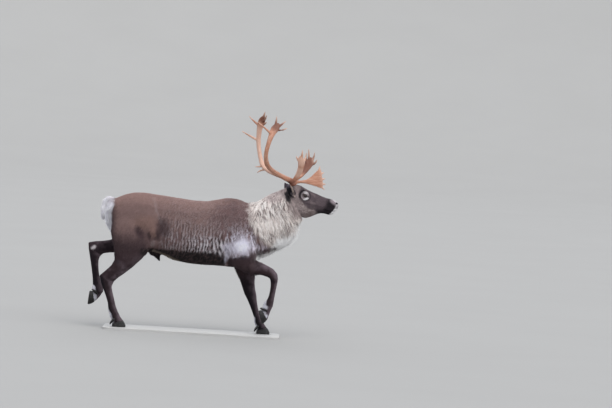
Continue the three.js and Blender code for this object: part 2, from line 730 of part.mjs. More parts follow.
// The upright brow shovel over the face: top and bottom edge, side offset, half thickness
const SHOVEL = [
  [790, 1326, 790, 1296, -44, 15],
  [832, 1329, 832, 1302, -38, 12],
  [884, 1333, 880, 1309, -26, 9],
  [926, 1350, 932, 1301, -16, 7],
  [966, 1390, 978, 1289, -8, 6],
  [1004, 1432, 1022, 1276, 0, 5.5],
  [1022, 1440, 1046, 1272, 4, 4.5],
  [1032, 1424, 1056, 1290, 6, 1.5],
];
const SHOVEL_TINES = [
  [[1008, 0, 1408, 12, 6], [1014, 2, 1438, 8, 5], [1018, 4, 1463, 2, 2]],
  [[1024, 4, 1392, 14, 5], [1042, 8, 1400, 8, 4], [1056, 10, 1412, 2, 2]],
  [[1034, 4, 1348, 14, 5], [1054, 8, 1352, 8, 4], [1070, 12, 1360, 2, 2]],
  [[1040, 4, 1308, 14, 5], [1060, 8, 1309, 8, 4], [1079, 12, 1312, 2, 2]],
  [[1032, 4, 1288, 12, 5], [1052, 8, 1276, 8, 4], [1071, 12, 1260, 2, 2]],
];

const TINE_SIDES = 5;
const BEAM_SIDES = 8;
const tines = (list, flat) => list.map((rows) => tube(rows, TINE_SIDES, { perStation: 1.5, flat }));
const beam = (rows, flat, grow = 0) => tube(rows, BEAM_SIDES, { perStation: 1.3, flat, grow });

// The plane across a branch at one of its rows
function branchCut(rows, index) {
  const normal = v3(...rows[index + 1]).sub(v3(...rows[index - 1])).normalize();
  return { normal, offset: normal.dot(v3(...rows[index])) };
}

// An antler is parted at the bend of its beam and under its palm. The bez and brow branches keep clear of
// the beam that they grow from
function antler(name, { low, high, palmRow, small, palm, bez, bezRoom, brow }) {
  const bend = branchCut(high, 1);
  const palmCut = branchCut(high, palmRow);
  const whole = join(beam(low, X_AXIS), beam(high, X_AXIS), small);
  const room = beam(low, X_AXIS, GAP);
  nodes[`${name}_beam_low`] = before(whole, bend);
  nodes[`${name}_beam_high`] = largest(before(beyond(whole, bend), palmCut));
  nodes[`${name}_palm`] = largest(beyond(whole.add(join(palm)), palmCut));
  nodes[`${name}_bez`] = largest(join(bez).subtract(room));
  nodes[`${name}_brow`] = largest(join(brow).subtract(bezRoom).subtract(room));
  return room;
}

const FORWARD_OUT = v3(0.9, -0.35, 0.1).normalize();
const rightRoom = antler("antler_right", {
  low: RIGHT_BEAM_LOW,
  high: RIGHT_BEAM_HIGH,
  palmRow: 4,
  small: tines(RIGHT_BACK_TINES, X_AXIS),
  palm: tines(RIGHT_PALM_TINES, X_AXIS),
  bez: [beam(RIGHT_BEZ, X_AXIS), tines(RIGHT_BEZ_TINES, X_AXIS)],
  bezRoom: beam(RIGHT_BEZ, X_AXIS, GAP),
  brow: [profileLoft(SHOVEL, 8, 1.15), tines(SHOVEL_TINES, v3(0, 0, 1))],
});
const leftRoom = antler("antler_left", {
  low: LEFT_BEAM_LOW,
  high: LEFT_BEAM_HIGH,
  palmRow: 5,
  small: tines(LEFT_BACK_TINES, X_AXIS),
  palm: tines(LEFT_PALM_TINES, X_AXIS),
  bez: [beam(LEFT_BEZ, FORWARD_OUT), tines(LEFT_BEZ_TINES, X_AXIS)],
  bezRoom: beam(LEFT_BEZ, FORWARD_OUT, GAP),
  brow: [tube(LEFT_BROW, 7, { perStation: 1.5 })],
});

nodes.head = largest(
  beyond(turned(headShape), HEAD_CUT).subtract(rightRoom).subtract(leftRoom),
);
for (const name of ["antler_right_bez", "antler_right_brow", "antler_left_bez", "antler_left_brow"]) {
  nodes[name] = largest(nodes[name].subtract(nodes.head));
}

// Flat display base under the two hooves that carry the body
function displayBase() {
  const [x, y] = [BASE_LENGTH / 2, BASE_WIDTH / 2];
  const plan = new THREE.Shape();
  plan.moveTo(-x + BASE_CORNER, -y);
  plan.lineTo(x - BASE_CORNER, -y);
  plan.absarc(x - BASE_CORNER, -y + BASE_CORNER, BASE_CORNER, -Math.PI / 2, 0);
  plan.lineTo(x, y - BASE_CORNER);
  plan.absarc(x - BASE_CORNER, y - BASE_CORNER, BASE_CORNER, 0, Math.PI / 2);
  plan.lineTo(-x + BASE_CORNER, y);
  plan.absarc(-x + BASE_CORNER, y - BASE_CORNER, BASE_CORNER, Math.PI / 2, Math.PI);
  plan.lineTo(-x, -y + BASE_CORNER);
  plan.absarc(-x + BASE_CORNER, -y + BASE_CORNER, BASE_CORNER, Math.PI, Math.PI * 1.5);
  const EDGE = 4;
  const slab = new THREE.ExtrudeGeometry(plan, {
    depth: BASE_THICK - EDGE,
    bevelSize: EDGE,
    bevelOffset: -EDGE,
    bevelThickness: EDGE,
    bevelSegments: 1,
    curveSegments: 4,
  });
  slab.translate(10, 0, -BASE_THICK - GAP);
  return solid(slab).trimByPlane([0, 0, 1], -BASE_THICK - GAP);
}
nodes.stand_base = displayBase();

// Colours of the materials
const FINISH = {
  coat: { color: 0x5a4a42, roughness: 0.95 },
  mane: { color: 0xb9aea4, roughness: 0.95 },
  legs: { color: 0x2f2725, roughness: 0.9 },
  antler: { color: 0xb9795a, roughness: 0.6 },
  hoof: { color: 0x1c1a1a, roughness: 0.45 },
  eye: { color: 0x140d0a, roughness: 0.08 },
  stand: { color: 0x8d8a86, roughness: 0.7 },
};

function finishOf(name) {
  if (name.startsWith("antler")) return FINISH.antler;
  if (name.startsWith("stand")) return FINISH.stand;
  if (name.startsWith("eye")) return FINISH.eye;
  if (name.includes("toe") || name.includes("dewclaw")) return FINISH.hoof;
  if (name.startsWith("fore") || name.startsWith("hind")) return FINISH.legs;
  if (name === "neck" || name === "tail") return FINISH.mane;
  return FINISH.coat;
}

function meshOf(name, whole) {
  const { vertProperties, triVerts, numProp, numVert } = whole.getMesh();
  const points = new Float32Array(numVert * 3);
  for (let i = 0; i < numVert; i++) {
    points.set(vertProperties.subarray(i * numProp, i * numProp + 3), i * 3);
  }
  const geometry = new THREE.BufferGeometry();
  geometry.setAttribute("position", new THREE.BufferAttribute(points, 3));
  geometry.setIndex(new THREE.BufferAttribute(triVerts, 1));
  geometry.computeVertexNormals();
  const mesh = new THREE.Mesh(geometry, new THREE.MeshStandardMaterial(finishOf(name)));
  mesh.name = name;
  return mesh;
}

const reindeer = new THREE.Group();
for (const [name, whole] of Object.entries(nodes)) reindeer.add(meshOf(name, whole));

// The origin is the middle of the box round the whole model, at the underside of the base
const extent = new THREE.Box3().setFromObject(reindeer);
const middle = extent.getCenter(v3(0, 0, 0));
reindeer.position.set(-middle.x, -middle.y, -extent.min.z);

export default reindeer;
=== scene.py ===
# A reindeer bull in mid trot, life size, shown as a museum model on a flat display base.
# Lengths of the animal are in millimetres from the ground between its feet, +X towards the nose and
# +Y towards its left side, and place() turns them into the frame's metres.
import json
import math

import bpy
import numpy as np
from mathutils import Matrix, Vector
from mathutils.bvhtree import BVHTree

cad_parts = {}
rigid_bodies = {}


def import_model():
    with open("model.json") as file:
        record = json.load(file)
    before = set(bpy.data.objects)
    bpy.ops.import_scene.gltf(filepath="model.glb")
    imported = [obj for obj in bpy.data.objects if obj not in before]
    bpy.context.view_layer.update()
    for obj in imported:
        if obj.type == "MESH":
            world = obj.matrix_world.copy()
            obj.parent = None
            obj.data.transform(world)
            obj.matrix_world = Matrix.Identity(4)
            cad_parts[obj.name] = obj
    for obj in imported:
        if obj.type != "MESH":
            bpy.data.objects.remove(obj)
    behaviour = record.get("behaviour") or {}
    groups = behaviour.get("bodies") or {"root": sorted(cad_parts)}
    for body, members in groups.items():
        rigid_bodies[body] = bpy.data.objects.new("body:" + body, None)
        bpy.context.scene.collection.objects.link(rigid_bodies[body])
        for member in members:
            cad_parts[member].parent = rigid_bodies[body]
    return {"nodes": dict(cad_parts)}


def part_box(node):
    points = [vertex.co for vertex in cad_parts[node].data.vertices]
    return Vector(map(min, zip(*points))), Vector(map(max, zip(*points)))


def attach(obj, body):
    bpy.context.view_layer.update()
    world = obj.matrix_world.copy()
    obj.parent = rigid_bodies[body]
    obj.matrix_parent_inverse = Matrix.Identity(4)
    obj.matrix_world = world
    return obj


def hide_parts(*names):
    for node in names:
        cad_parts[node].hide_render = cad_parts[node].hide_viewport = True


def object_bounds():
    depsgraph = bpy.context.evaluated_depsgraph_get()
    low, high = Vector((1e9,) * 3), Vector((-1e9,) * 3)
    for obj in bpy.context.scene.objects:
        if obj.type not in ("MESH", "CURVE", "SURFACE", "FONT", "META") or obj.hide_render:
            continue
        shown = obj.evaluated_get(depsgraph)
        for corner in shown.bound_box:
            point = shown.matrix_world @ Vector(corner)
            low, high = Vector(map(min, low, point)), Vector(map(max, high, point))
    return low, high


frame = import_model()
cad_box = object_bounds()

# The display base is a flat board with rounded corners, of close-grained wood under matte grey paint.
# Two hooves stand on it, and the whole model rests on its underside.
BASE_PAINT = (0.47, 0.465, 0.455, 1)
BASE_GRAIN = (0.40, 0.395, 0.385, 1)


def new_material(name, roughness, specular):
    """A material whose shader holds what is the same all over"""
    made = bpy.data.materials.new(name)
    made.use_nodes = True
    shader = made.node_tree.nodes["Principled BSDF"]
    shader.inputs["Roughness"].default_value = roughness
    shader.inputs["Specular IOR Level"].default_value = specular
    return made, shader


def node(shader, kind, inputs, **settings):
    """A node beside the shader, whose inputs are values or other nodes' outputs"""
    tree = shader.id_data
    made = tree.nodes.new("ShaderNode" + kind)
    for key, value in settings.items():
        setattr(made, key, value)
    for key, value in inputs.items():
        if isinstance(value, bpy.types.NodeSocket):
            tree.links.new(value, made.inputs[key])
        else:
            made.inputs[key].default_value = value
    return made


def feed(shader, socket, output):
    shader.id_data.links.new(output, shader.inputs[socket])


def object_place(shader, scale=(1, 1, 1)):
    """Object coordinates, stretched by `scale`"""
    here = node(shader, "TexCoord", {}).outputs["Object"]
    return node(shader, "Mapping", {"Vector": here, "Scale": scale}).outputs[0]


def noise_at(shader, vector, size, detail=4, roughness=0.55):
    inputs = {"Vector": vector, "Scale": size, "Detail": detail, "Roughness": roughness}
    return node(shader, "TexNoise", inputs).outputs["Fac"]


def mixed(shader, share, first, second, blend="MIX"):
    inputs = {0: share, 6: first, 7: second}
    return node(shader, "Mix", inputs, data_type="RGBA", blend_type=blend).outputs[2]


def ranged(shader, value, low, high, to_low, to_high):
    return node(shader, "MapRange", {0: value, 1: low, 2: high, 3: to_low, 4: to_high}).outputs[0]


def bumped(shader, height, strength, distance):
    inputs = {"Height": height, "Strength": strength, "Distance": distance}
    feed(shader, "Normal", node(shader, "Bump", inputs).outputs[0])


def dress(piece, material):
    """Gives a piece its one material"""
    piece.data.materials.clear()
    piece.data.materials.append(material)


painted_wood, shader = new_material("painted_wood", 0.6, 0.35)
grain = noise_at(shader, object_place(shader, (2.5, 45, 45)), 1.6, 6)
specks = noise_at(shader, object_place(shader), 260, 2)
feed(shader, "Base Color", mixed(shader, ranged(shader, grain, 0.35, 0.7, 0, 1), BASE_PAINT, BASE_GRAIN))
feed(shader, "Roughness", ranged(shader, specks, 0.3, 0.7, 0.5, 0.7))
bumped(shader, grain, 0.25, 0.0006)
dress(frame["nodes"]["stand_base"], painted_wood)

# The skin is one closed hide over flesh and bone, from the nose to the fetlocks. Its form comes from the
# solids, with a core for the neck and the tail in place of their locks. It lies inside them by the depth
# of the coat, and it adds the folds of the face, the lids and the tendons.
VOXEL = 0.004
GROWN = 0.0008  # each part is grown by this, so that the thin cuts between the parts close
MERGE = 0.00002  # corners of a solid's loose triangles that lie this close are one
HEAD_TURN = math.radians(5)  # how far the head looks to its left, turned about the poll
POLL_X = 740
HEAD_CUT = (0.859, 0.512, 1291.8)  # x and z of the way that it faces, and how far out it lies
NECK_CUT = (0.982, 0.1875, 663.6)

# The cores' rings: front or top x and z, back or bottom x and z, side offset, half width
CHEST = [
    (330, 1125, 345, 580, 0, 165),
    (400, 1115, 420, 590, 0, 156),
    (460, 1085, 480, 612, 0, 142),
    (515, 1030, 545, 645, 0, 118),
    (566, 940, 586, 725, 0, 74),
    (588, 868, 594, 806, 0, 30),
]
NECK = [
    (330, 1080, 420, 650, 0, 110),
    (432, 1118, 508, 662, 0, 146),
    (506, 1134, 600, 702, 0, 148),
    (560, 1170, 680, 748, 0, 139),
    (612, 1204, 750, 808, 0, 127),
    (662, 1228, 806, 878, 0, 114),
    (708, 1252, 846, 942, 3, 104),
    (755, 1274, 876, 998, 7, 93),
    (800, 1280, 900, 1040, 12, 78),
]
TAIL = [
    (-690, 1084, -690, 1050, 0, 20),
    (-742, 1094, -748, 1056, 0, 24),
    (-788, 1076, -758, 1046, 0, 25),
    (-810, 1012, -768, 1016, 0, 22),
    (-800, 962, -772, 966, 0, 16),
    (-790, 928, -775, 930, 0, 8),
]

# The middle line of each leg, downwards, with its radius there
LEGS = {
    "fore_right": [
        (398, -128, 650, 66), (531, -122, 571, 56), (655, -112, 534, 40), (692, -107, 478, 34),
        (684, -104, 395, 29), (668, -100, 304, 33), (639, -97, 226, 38), (600, -96, 150, 36),
    ],
    "fore_left": [
        (409, 128, 690, 88), (432, 118, 531, 86), (474, 108, 382, 64), (509, 102, 284, 44),
        (545, 98, 183, 33), (572, 94, 103, 38), (592, 93, 70, 40), (612, 92, 20, 36),
    ],
    "hind_right": [
        (-522, -80, 998, 120), (-542, -114, 782, 190), (-562, -123, 610, 125), (-636, -114, 488, 66),
        (-731, -107, 400, 60), (-712, -103, 298, 44), (-674, -98, 186, 37), (-640, -95, 90, 46),
        (-610, -94, 30, 44),
    ],
    "hind_left": [
        (-527, 80, 990, 120), (-565, 114, 783, 175), (-631, 124, 683, 90), (-754, 114, 662, 56),
        (-866, 109, 628, 60), (-856, 106, 533, 44), (-829, 102, 389, 38), (-813, 99, 291, 50),
        (-846, 97, 228, 36),
    ],
}
# Where each leg's own close hair begins, counted in the points of its line from the top
LEG_FROM = {"fore_right": 0.5, "fore_left": 0.9, "hind_right": 1.6, "hind_left": 1.6}

base_low, base_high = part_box("stand_base")
SOLE_GAP = 0.0003
BASE_AHEAD = 0.010  # the base's middle lies this far ahead of the animal's zero
GROUND = np.array([(base_low.x + base_high.x) / 2 - BASE_AHEAD, (base_low.y + base_high.y) / 2,
                   base_high.z + SOLE_GAP])


def place(points):
    return GROUND + np.asarray(points, dtype=float) / 1000


def millimetres(points):
    return (np.asarray(points, dtype=float) - GROUND) * 1000


def turned(points, turn):
    """Points of the head, turned about the upright line through the poll"""
    points = np.asarray(points, dtype=float)
    x, y = points[..., 0] - POLL_X, points[..., 1]
    cos, sin = math.cos(turn), math.sin(turn)
    return np.stack([POLL_X + x * cos - y * sin, x * sin + y * cos, points[..., 2]], axis=-1)


def both_sides(points):
    """Points with those of the right side moved over to the left"""
    return np.column_stack([points[:, 0], np.abs(points[:, 1]), points[:, 2]])


def mirrored_head(points):
    """Points in the head's own frame, all on its left side"""
    return both_sides(turned(points, -HEAD_TURN))


def fade(value, start, end):
    """A smooth step from 0 at `start` to 1 at `end`"""
    share = np.clip((value - start) / (end - start), 0, 1)
    return share * share * (3 - 2 * share)


def unit(vectors):
    return vectors / np.maximum(np.linalg.norm(vectors, axis=-1, keepdims=True), 1e-9)


def span(vectors):
    """The length of each vector"""
    return np.linalg.norm(vectors, axis=1)


def near_path(points, path):
    """How far points lie from a path of straight lines, and how many lines along it their nearest place is"""
    path = np.asarray(path, dtype=float)
    distance = np.full(len(points), 1e9)
    along = np.zeros(len(points))
    for i in range(len(path) - 1):
        line = path[i + 1] - path[i]
        share = np.clip((points - path[i]) @ line / (line @ line), 0, 1)
        away = span(points - path[i] - share[:, None] * line)
        nearer = away < distance
        distance[nearer] = away[nearer]
        along[nearer] = i + share[nearer]
    return distance, along


def beside_leg(points, line):
    """How far points lie from a leg's middle line, how far down it, and the line's place and radius there"""
    line = np.array(line, dtype=float)
    distance, along = near_path(points, line[:, :3])
    return distance, along, [np.interp(along, range(len(line)), row) for row in line.T]


def past_cut(points, cut):
    """How far points lie past a slanting cut through the neck"""
    return points[:, 0] * cut[0] + points[:, 2] * cut[1] - cut[2]


def only(piece):
    """Selects one piece and nothing else"""
    bpy.ops.object.select_all(action="DESELECT")
    piece.select_set(True)
    bpy.context.view_layer.objects.active = piece


def edit_all(piece):
    """Opens one piece for editing, with all of it selected"""
    only(piece)
    bpy.ops.object.mode_set(mode="EDIT")
    bpy.ops.mesh.select_all(action="SELECT")


def applied(piece, kind, **settings):
    """Adds one modifier and applies it"""
    only(piece)
    modifier = piece.modifiers.new(kind.lower(), kind)
    for key, value in settings.items():
        setattr(modifier, key, value)
    bpy.ops.object.modifier_apply(modifier=modifier.name)


def smoothed(piece):
    only(piece)
    bpy.ops.object.shade_smooth()


def merged_copy(name, grown=GROWN):
    """A copy of a solid with its triangles merged, grown a little along its normals"""
    piece = bpy.data.objects.new(name + "_form", frame["nodes"][name].data.copy())
    bpy.context.collection.objects.link(piece)
    edit_all(piece)
    bpy.ops.mesh.remove_doubles(threshold=MERGE)
    bpy.ops.transform.shrink_fatten(value=grown)
    bpy.ops.object.mode_set(mode="OBJECT")
    return piece


def ring_form(name, stations, sides=28):
    """A closed form over oval rings, each set by its front and back edge in side view"""
    bpy.ops.object.select_all(action="DESELECT")
    first = True
    for front_x, front_z, back_x, back_z, side, half in stations:
        centre = place(((front_x + back_x) / 2, side, (front_z + back_z) / 2))
        size = math.hypot(front_x - back_x, front_z - back_z) / 2000
        pitch = math.atan2(front_z - back_z, front_x - back_x)
        bpy.ops.mesh.primitive_circle_add(vertices=sides, radius=1, location=centre)
        if first:
            piece = bpy.context.object
            piece.name = name
            bpy.ops.object.transform_apply(location=True, rotation=False, scale=False)
            edit_all(piece)
            first = False
        bpy.ops.transform.resize(value=(size, half / 1000, 1), center_override=centre)
        bpy.ops.transform.rotate(value=pitch, orient_axis="Y", center_override=centre)
    bpy.ops.mesh.select_all(action="SELECT")
    bpy.ops.mesh.bridge_edge_loops()
    bpy.ops.mesh.select_all(action="DESELECT")
    bpy.ops.mesh.select_non_manifold()
    bpy.ops.mesh.fill_holes(sides=0)
    bpy.ops.mesh.select_all(action="SELECT")
    bpy.ops.mesh.normals_make_consistent(inside=False)
    bpy.ops.object.mode_set(mode="OBJECT")
    return piece


def joined(name, pieces):
    bpy.ops.object.select_all(action="DESELECT")
    for piece in pieces:
        piece.select_set(True)
    bpy.context.view_layer.objects.active = pieces[0]
    bpy.ops.object.join()
    whole = bpy.context.object
    whole.name = name
    whole.data.name = name
    return whole


def largest_shell(piece):
    """Leaves only the largest loose part of a mesh"""
    before = set(bpy.data.objects)
    edit_all(piece)
    bpy.ops.mesh.separate(type="LOOSE")
    bpy.ops.object.mode_set(mode="OBJECT")
    shells = [piece] + [made for made in bpy.data.objects if made not in before]
    best = max(shells, key=lambda shell: len(shell.data.vertices))
    name = piece.name
    for shell in shells:
        if shell is not best:
            bpy.data.objects.remove(shell)
    best.name = name
    return best


def read(rows, name, width=3, kind=float):
    """One value of each row of a mesh, as an array"""
    values = np.empty(len(rows) * width, dtype=kind)
    rows.foreach_get(name, values)
    return values.reshape(-1, width)


def points_of(piece):
    return millimetres(read(piece.data.vertices, "co"))


def normals_of(piece):
    return read(piece.data.vertex_normals, "vector")


def neighbour_means(piece):
    """A function that gives the mean of each vertex's neighbours"""
    one, other = read(piece.data.edges, "vertices", 2, int).T
    size = len(piece.data.vertices)
    count = np.bincount(one, minlength=size) + np.bincount(other, minlength=size)

    def means(points):
        sums = [np.bincount(one, row[other], size) + np.bincount(other, row[one], size) for row in points.T]
        return np.column_stack(sums) / count[:, None]

    return means


def move_points(piece, points):
    piece.data.vertices.foreach_set("co", place(points).ravel())
    piece.data.update()


def weigh(piece, name, weights, levels=12):
    """A vertex group from an array of weights, in steps"""
    group = piece.vertex_groups.new(name=name)
    steps = np.rint(weights * levels).astype(int)
    for step in range(1, levels + 1):
        chosen = np.nonzero(steps == step)[0]
        if len(chosen):
            group.add(chosen.tolist(), step / levels, "REPLACE")


def split_finer(piece, chosen):
    """Splits the faces whose middle passes `chosen` in four"""
    only(piece)
    faces = piece.data.polygons
    marks = chosen(millimetres(read(faces, "center")))
    bpy.ops.object.mode_set(mode="EDIT")
    bpy.ops.mesh.select_all(action="DESELECT")
    bpy.ops.mesh.select_mode(type="FACE")
    bpy.ops.object.mode_set(mode="OBJECT")
    faces.foreach_set("select", marks)
    bpy.ops.object.mode_set(mode="EDIT")
    bpy.ops.mesh.subdivide(number_cuts=1)
    bpy.ops.object.mode_set(mode="OBJECT")


# The middle lines of ear and tail, and the place where the ear leaves the head
EAR_LINE = [(816, 60, 1172), (783, 102, 1226), (763, 116, 1255), (738, 128, 1298)]
EAR_FOOT = (812, 76, 1184)
TAIL_LINE = [(-716, 0, 1066), (-774, 0, 1062), (-790, 0, 1014), (-781, 0, 930)]


def regions(points):
    """How much each point belongs to each part of the body, from 0 to 1"""
    x, _, z = points.T
    part = {"head": fade(past_cut(points, HEAD_CUT), -25, 25)}
    part["neck"] = fade(past_cut(points, NECK_CUT), -45, 45) * (1 - part["head"])
    local = mirrored_head(points)
    part["ear"] = (1 - fade(near_path(local, EAR_LINE)[0], 34, 46)) * fade(local[:, 1], 84, 100)
    part["tail"] = (1 - fade(near_path(points, TAIL_LINE)[0], 32, 52)) * fade(-x, 700, 732)
    leg = np.zeros(len(points))
    foot = np.zeros(len(points))
    for name, line in LEGS.items():
        distance, along, (*_, reach) = beside_leg(points, line)
        near = 1 - fade(distance, 1.35 * reach, 1.9 * reach)
        leg = np.maximum(leg, near * fade(along, LEG_FROM[name], LEG_FROM[name] + 0.9))
        foot = np.maximum(foot, near * fade(along, len(line) - 3.2, len(line) - 2.2))
    low = 1 - fade(z, 690, 760)
    part["leg"] = leg * np.where(x > 0, 1 - fade(z, 600, 680), low)
    part["foot"] = foot
    for name in ("neck", "head"):
        part[name] = part[name] * (1 - part["leg"])
    return part


FLESH = ["torso", "head", "ear_left", "ear_right"]
for leg_name in LEGS:
    FLESH += [f"{leg_name}_upper", f"{leg_name}_cannon", f"{leg_name}_pastern"]
forms = [merged_copy(name) for name in FLESH + ["eye_left", "eye_right"]]
forms += [ring_form("chest_core", CHEST), ring_form("neck_core", NECK), ring_form("tail_core", TAIL, 16)]
skin = joined("skin", forms)
applied(skin, "REMESH", mode="VOXEL", voxel_size=VOXEL)
skin = largest_shell(skin)

part = regions(points_of(skin))
fine = np.clip(part["head"] + part["ear"] + part["foot"], 0, 1)
soften = np.clip(1 - 0.62 * part["leg"] - 0.92 * fine, 0.08, 1)
weigh(skin, "soften", soften * (1 - 0.95 * part["ear"]))
applied(skin, "SMOOTH", factor=0.5, iterations=110, vertex_group="soften")
# The trunk may have triangles of 10 mm, the legs of 6 mm and the head and feet of 4 mm
SKIN_FACES = 126000
weigh(skin, "thin", np.clip(0.6 - 0.27 * part["leg"] - 0.6 * fine, 0, 0.6))
triangles = 2 * len(skin.data.polygons)
applied(skin, "DECIMATE", ratio=SKIN_FACES / triangles, vertex_group="thin", vertex_group_factor=4)

# What the solids' long facets leave on the trunk is evened out, and the ear's foot widens into the head
EVENING = 36  # rounds
points = points_of(skin)
part = regions(points)
trunk = np.clip(1 - part["head"] - part["leg"] - part["tail"] - part["ear"] - 0.5 * part["neck"], 0, 1)
means = neighbour_means(skin)
for step in range(EVENING):
    # a step inwards and a slightly longer one outwards keep the trunk's size
    for factor in (0.5, -0.53):
        points += factor * trunk[:, None] * (means(points) - points)
move_points(skin, points)
from_ear_foot = span(mirrored_head(points_of(skin)) - EAR_FOOT)
weigh(skin, "ear_foot", 1 - fade(from_ear_foot, 26, 46))
applied(skin, "SMOOTH", factor=0.5, iterations=14, vertex_group="ear_foot")

# The eye's middle comes from its solid, and the lids close over it to an almond with a low front corner
EYE_RADIUS = 24
EYE_TILT = 0.3
EYE_LONG = 21  # half the opening's length
EYE_UP = 12  # its height over the line between its corners
EYE_DOWN = 10.5  # its depth under that line
eye_middle = {}
for eye_name, eye_side in (("eye_right", -1), ("eye_left", 1)):
    low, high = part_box(eye_name)
    eye_middle[eye_side] = turned(millimetres((low + high) / 2), -HEAD_TURN)


def around_eye(straight, side):
    """Places from the middle of an eye: ahead, up and out, in the head's own frame"""
    from_eye = straight - eye_middle[side]
    ahead = unit(np.array([1, 0, -EYE_TILT]))
    upward = unit(np.array([EYE_TILT, 0, 1]))
    return from_eye @ ahead, from_eye @ upward, from_eye[:, 1] * side, from_eye


def past_lids(ahead, up):
    """How far a place lies outside the opening between the lids, less than 0 inside it"""
    arch = np.clip(1 - (ahead / EYE_LONG) ** 2, 0, 1) ** 0.7
    beyond = np.maximum(up - EYE_UP * arch, -EYE_DOWN * arch - up)
    past_corner = np.hypot(np.maximum(np.abs(ahead) - EYE_LONG, 0), up)
    return np.where(np.abs(ahead) > EYE_LONG, past_corner, beyond)


def near_an_eye(points, reach):
    straight = turned(points, -HEAD_TURN)
    return np.minimum(*[span(straight - eye_middle[side]) for side in (-1, 1)]) < reach


# The tear gland, the mouth's line and the nostril, on the head's left side
TEAR_LINE = [(928, 74, 1196), (940, 69, 1186), (958, 63, 1172)]
MOUTH = [(1080, 49, 1086), (1110, 49, 1078), (1136, 46, 1076), (1160, 39, 1081), (1180, 20, 1094),
         (1186, 0, 1099)]
NOSTRIL = [(1180, 27, 1150), (1180, 37, 1154), (1178, 45, 1150), (1176, 48, 1142), (1170, 49, 1136)]
for reach, width in ((44, 14), (34, 7)):
    split_finer(skin, lambda points: near_an_eye(points, reach)
                | (near_path(mirrored_head(points), MOUTH)[0] < width)
                | (near_path(mirrored_head(points), NOSTRIL)[0] < 1.8 * width))
part = regions(points_of(skin))
weigh(skin, "even", np.where(part["head"] > 0.5, 0.7, 0.25) * (1 - 0.9 * part["ear"]))
applied(skin, "SMOOTH", factor=0.5, iterations=5, vertex_group="even")

# How deep the coat is over the skin
DEPTH = {"body": 4, "neck": 5, "head": 2.5, "leg": 1.8, "foot": 1.6, "ear": 0.8, "tail": 2}


def by_region(part, values):
    """One value for each point, blended from the values of the parts that it belongs to"""
    result = np.full(len(part["head"]), float(values["body"]))
    for name in ("neck", "head", "leg", "foot", "tail", "ear"):
        result += (values[name] - result) * part[name]
    return result


# Places where muscle, bone or a hollow shows on both sides: x, side, z, radius and height. A crease has its
# points, its width and its depth, which is below 0 for a ridge
BODY_FORMS = [
    (-440, 150, 1040, 75, 6), (-283, 190, 862, 62, -9), (-476, 172, 800, 40, -8), (-419, 172, 909, 62, 7),
    (-351, 176, 829, 28, 7), (-354, 150, 729, 30, 5), (-300, 120, 670, 50, -5), (512, 118, 770, 60, 7),
    (345, 125, 612, 45, 6), (210, 190, 930, 60, -5), (-650, 110, 1040, 60, 4), (-560, 172, 690, 60, 4),
]
BODY_CREASES = [
    ([(-640, 120, 1010), (-690, 120, 860), (-690, 118, 700)], 22, 5),
    ([(-330, 165, 992), (-304, 180, 930)], 13, 4),
    ([(-281, 180, 834), (-318, 176, 790), (-341, 172, 760)], 16, 5),
    ([(-520, 172, 800), (-532, 174, 720), (-560, 166, 640)], 13, 4),
    ([(-574, 172, 800), (-586, 170, 720), (-604, 160, 650)], 13, 3.5),
    ([(300, 150, 1040), (262, 185, 900), (268, 180, 760)], 26, 5),
    ([(330, 130, 1060), (400, 150, 930), (470, 150, 800)], 24, -4),
    ([(540, 90, 900), (520, 140, 800), (500, 150, 700)], 26, 4),
]
HEAD_FORMS = [
    (902, 84, 1108, 42, 5), (996, 60, 1116, 30, -4.5), (868, 88, 1200, 16, -4), (1040, 44, 1190, 30, -2.5),
    (1130, 34, 1054, 20, 3), (1122, 50, 1118, 22, -3), (870, 36, 1290, 28, 3), (1160, 40, 1160, 16, 3),
    (930, 40, 1262, 22, -3), (820, 78, 1236, 22, -4), (1172, 44, 1100, 13, 2.5),
]
HEAD_CREASES = [
    (MOUTH, 4.2, 7),
    (TEAR_LINE, 4, 5),
    ([(880, 93, 1174), (903, 93, 1163), (928, 84, 1166)], 4, 3),
    ([(864, 94, 1204), (874, 94, 1222), (900, 88, 1234), (930, 76, 1226)], 4, 3),
    ([(862, 88, 1222), (886, 84, 1240), (918, 76, 1240), (944, 68, 1222)], 8, -5),
    ([(866, 96, 1180), (900, 98, 1152), (950, 80, 1140), (1010, 64, 1130), (1060, 56, 1122)], 11, -4.5),
    (NOSTRIL, 5.5, 9),
    ([(1150, 30, 1162), (1166, 42, 1164), (1182, 50, 1158), (1190, 44, 1146)], 5, -3),
    ([(850, 88, 1100), (880, 86, 1062), (950, 66, 1036), (1040, 48, 1036)], 13, -3.5),
    ([(964, 64, 1092), (1020, 58, 1086), (1076, 52, 1086)], 12, 3.5),
    ([(1092, 50, 1070), (1130, 48, 1064), (1160, 40, 1070)], 6, -2.5),
    ([(1092, 52, 1096), (1130, 50, 1090), (1164, 42, 1096), (1184, 24, 1108)], 6, -2.5),
    ([(1000, 20, 1226), (1060, 18, 1206), (1120, 16, 1192)], 12, -2),
]


def formed(points, normals):
    """Moves the skin in or out along its normals, by its forms and creases"""
    rise = -by_region(part, DEPTH) - 1000 * GROWN
    body = (1 - part["head"]) * (1 - part["leg"])
    for local, share, places, creases in (
        (both_sides(points), body, BODY_FORMS, BODY_CREASES),
        (mirrored_head(points), part["head"], HEAD_FORMS, HEAD_CREASES),
    ):
        for x, side, z, radius, height in places:
            distance = span(local - (x, side, z))
            rise += share * height * np.exp(-((distance / radius) ** 2))
        for path, width, depth in creases:
            rise -= share * depth * np.exp(-((near_path(local, path)[0] / width) ** 2))
    for line in LEGS.values():
        # a groove on each side between the cannon bone and the tendon behind it
        for side in (-1, 1):
            groove = [(x - 0.25 * r, y + side * r * 0.95, z) for x, y, z, r in line[3:-2]]
            rise -= 3 * np.exp(-((near_path(points, groove)[0] / 9) ** 2))
    return points + normals * rise[:, None]


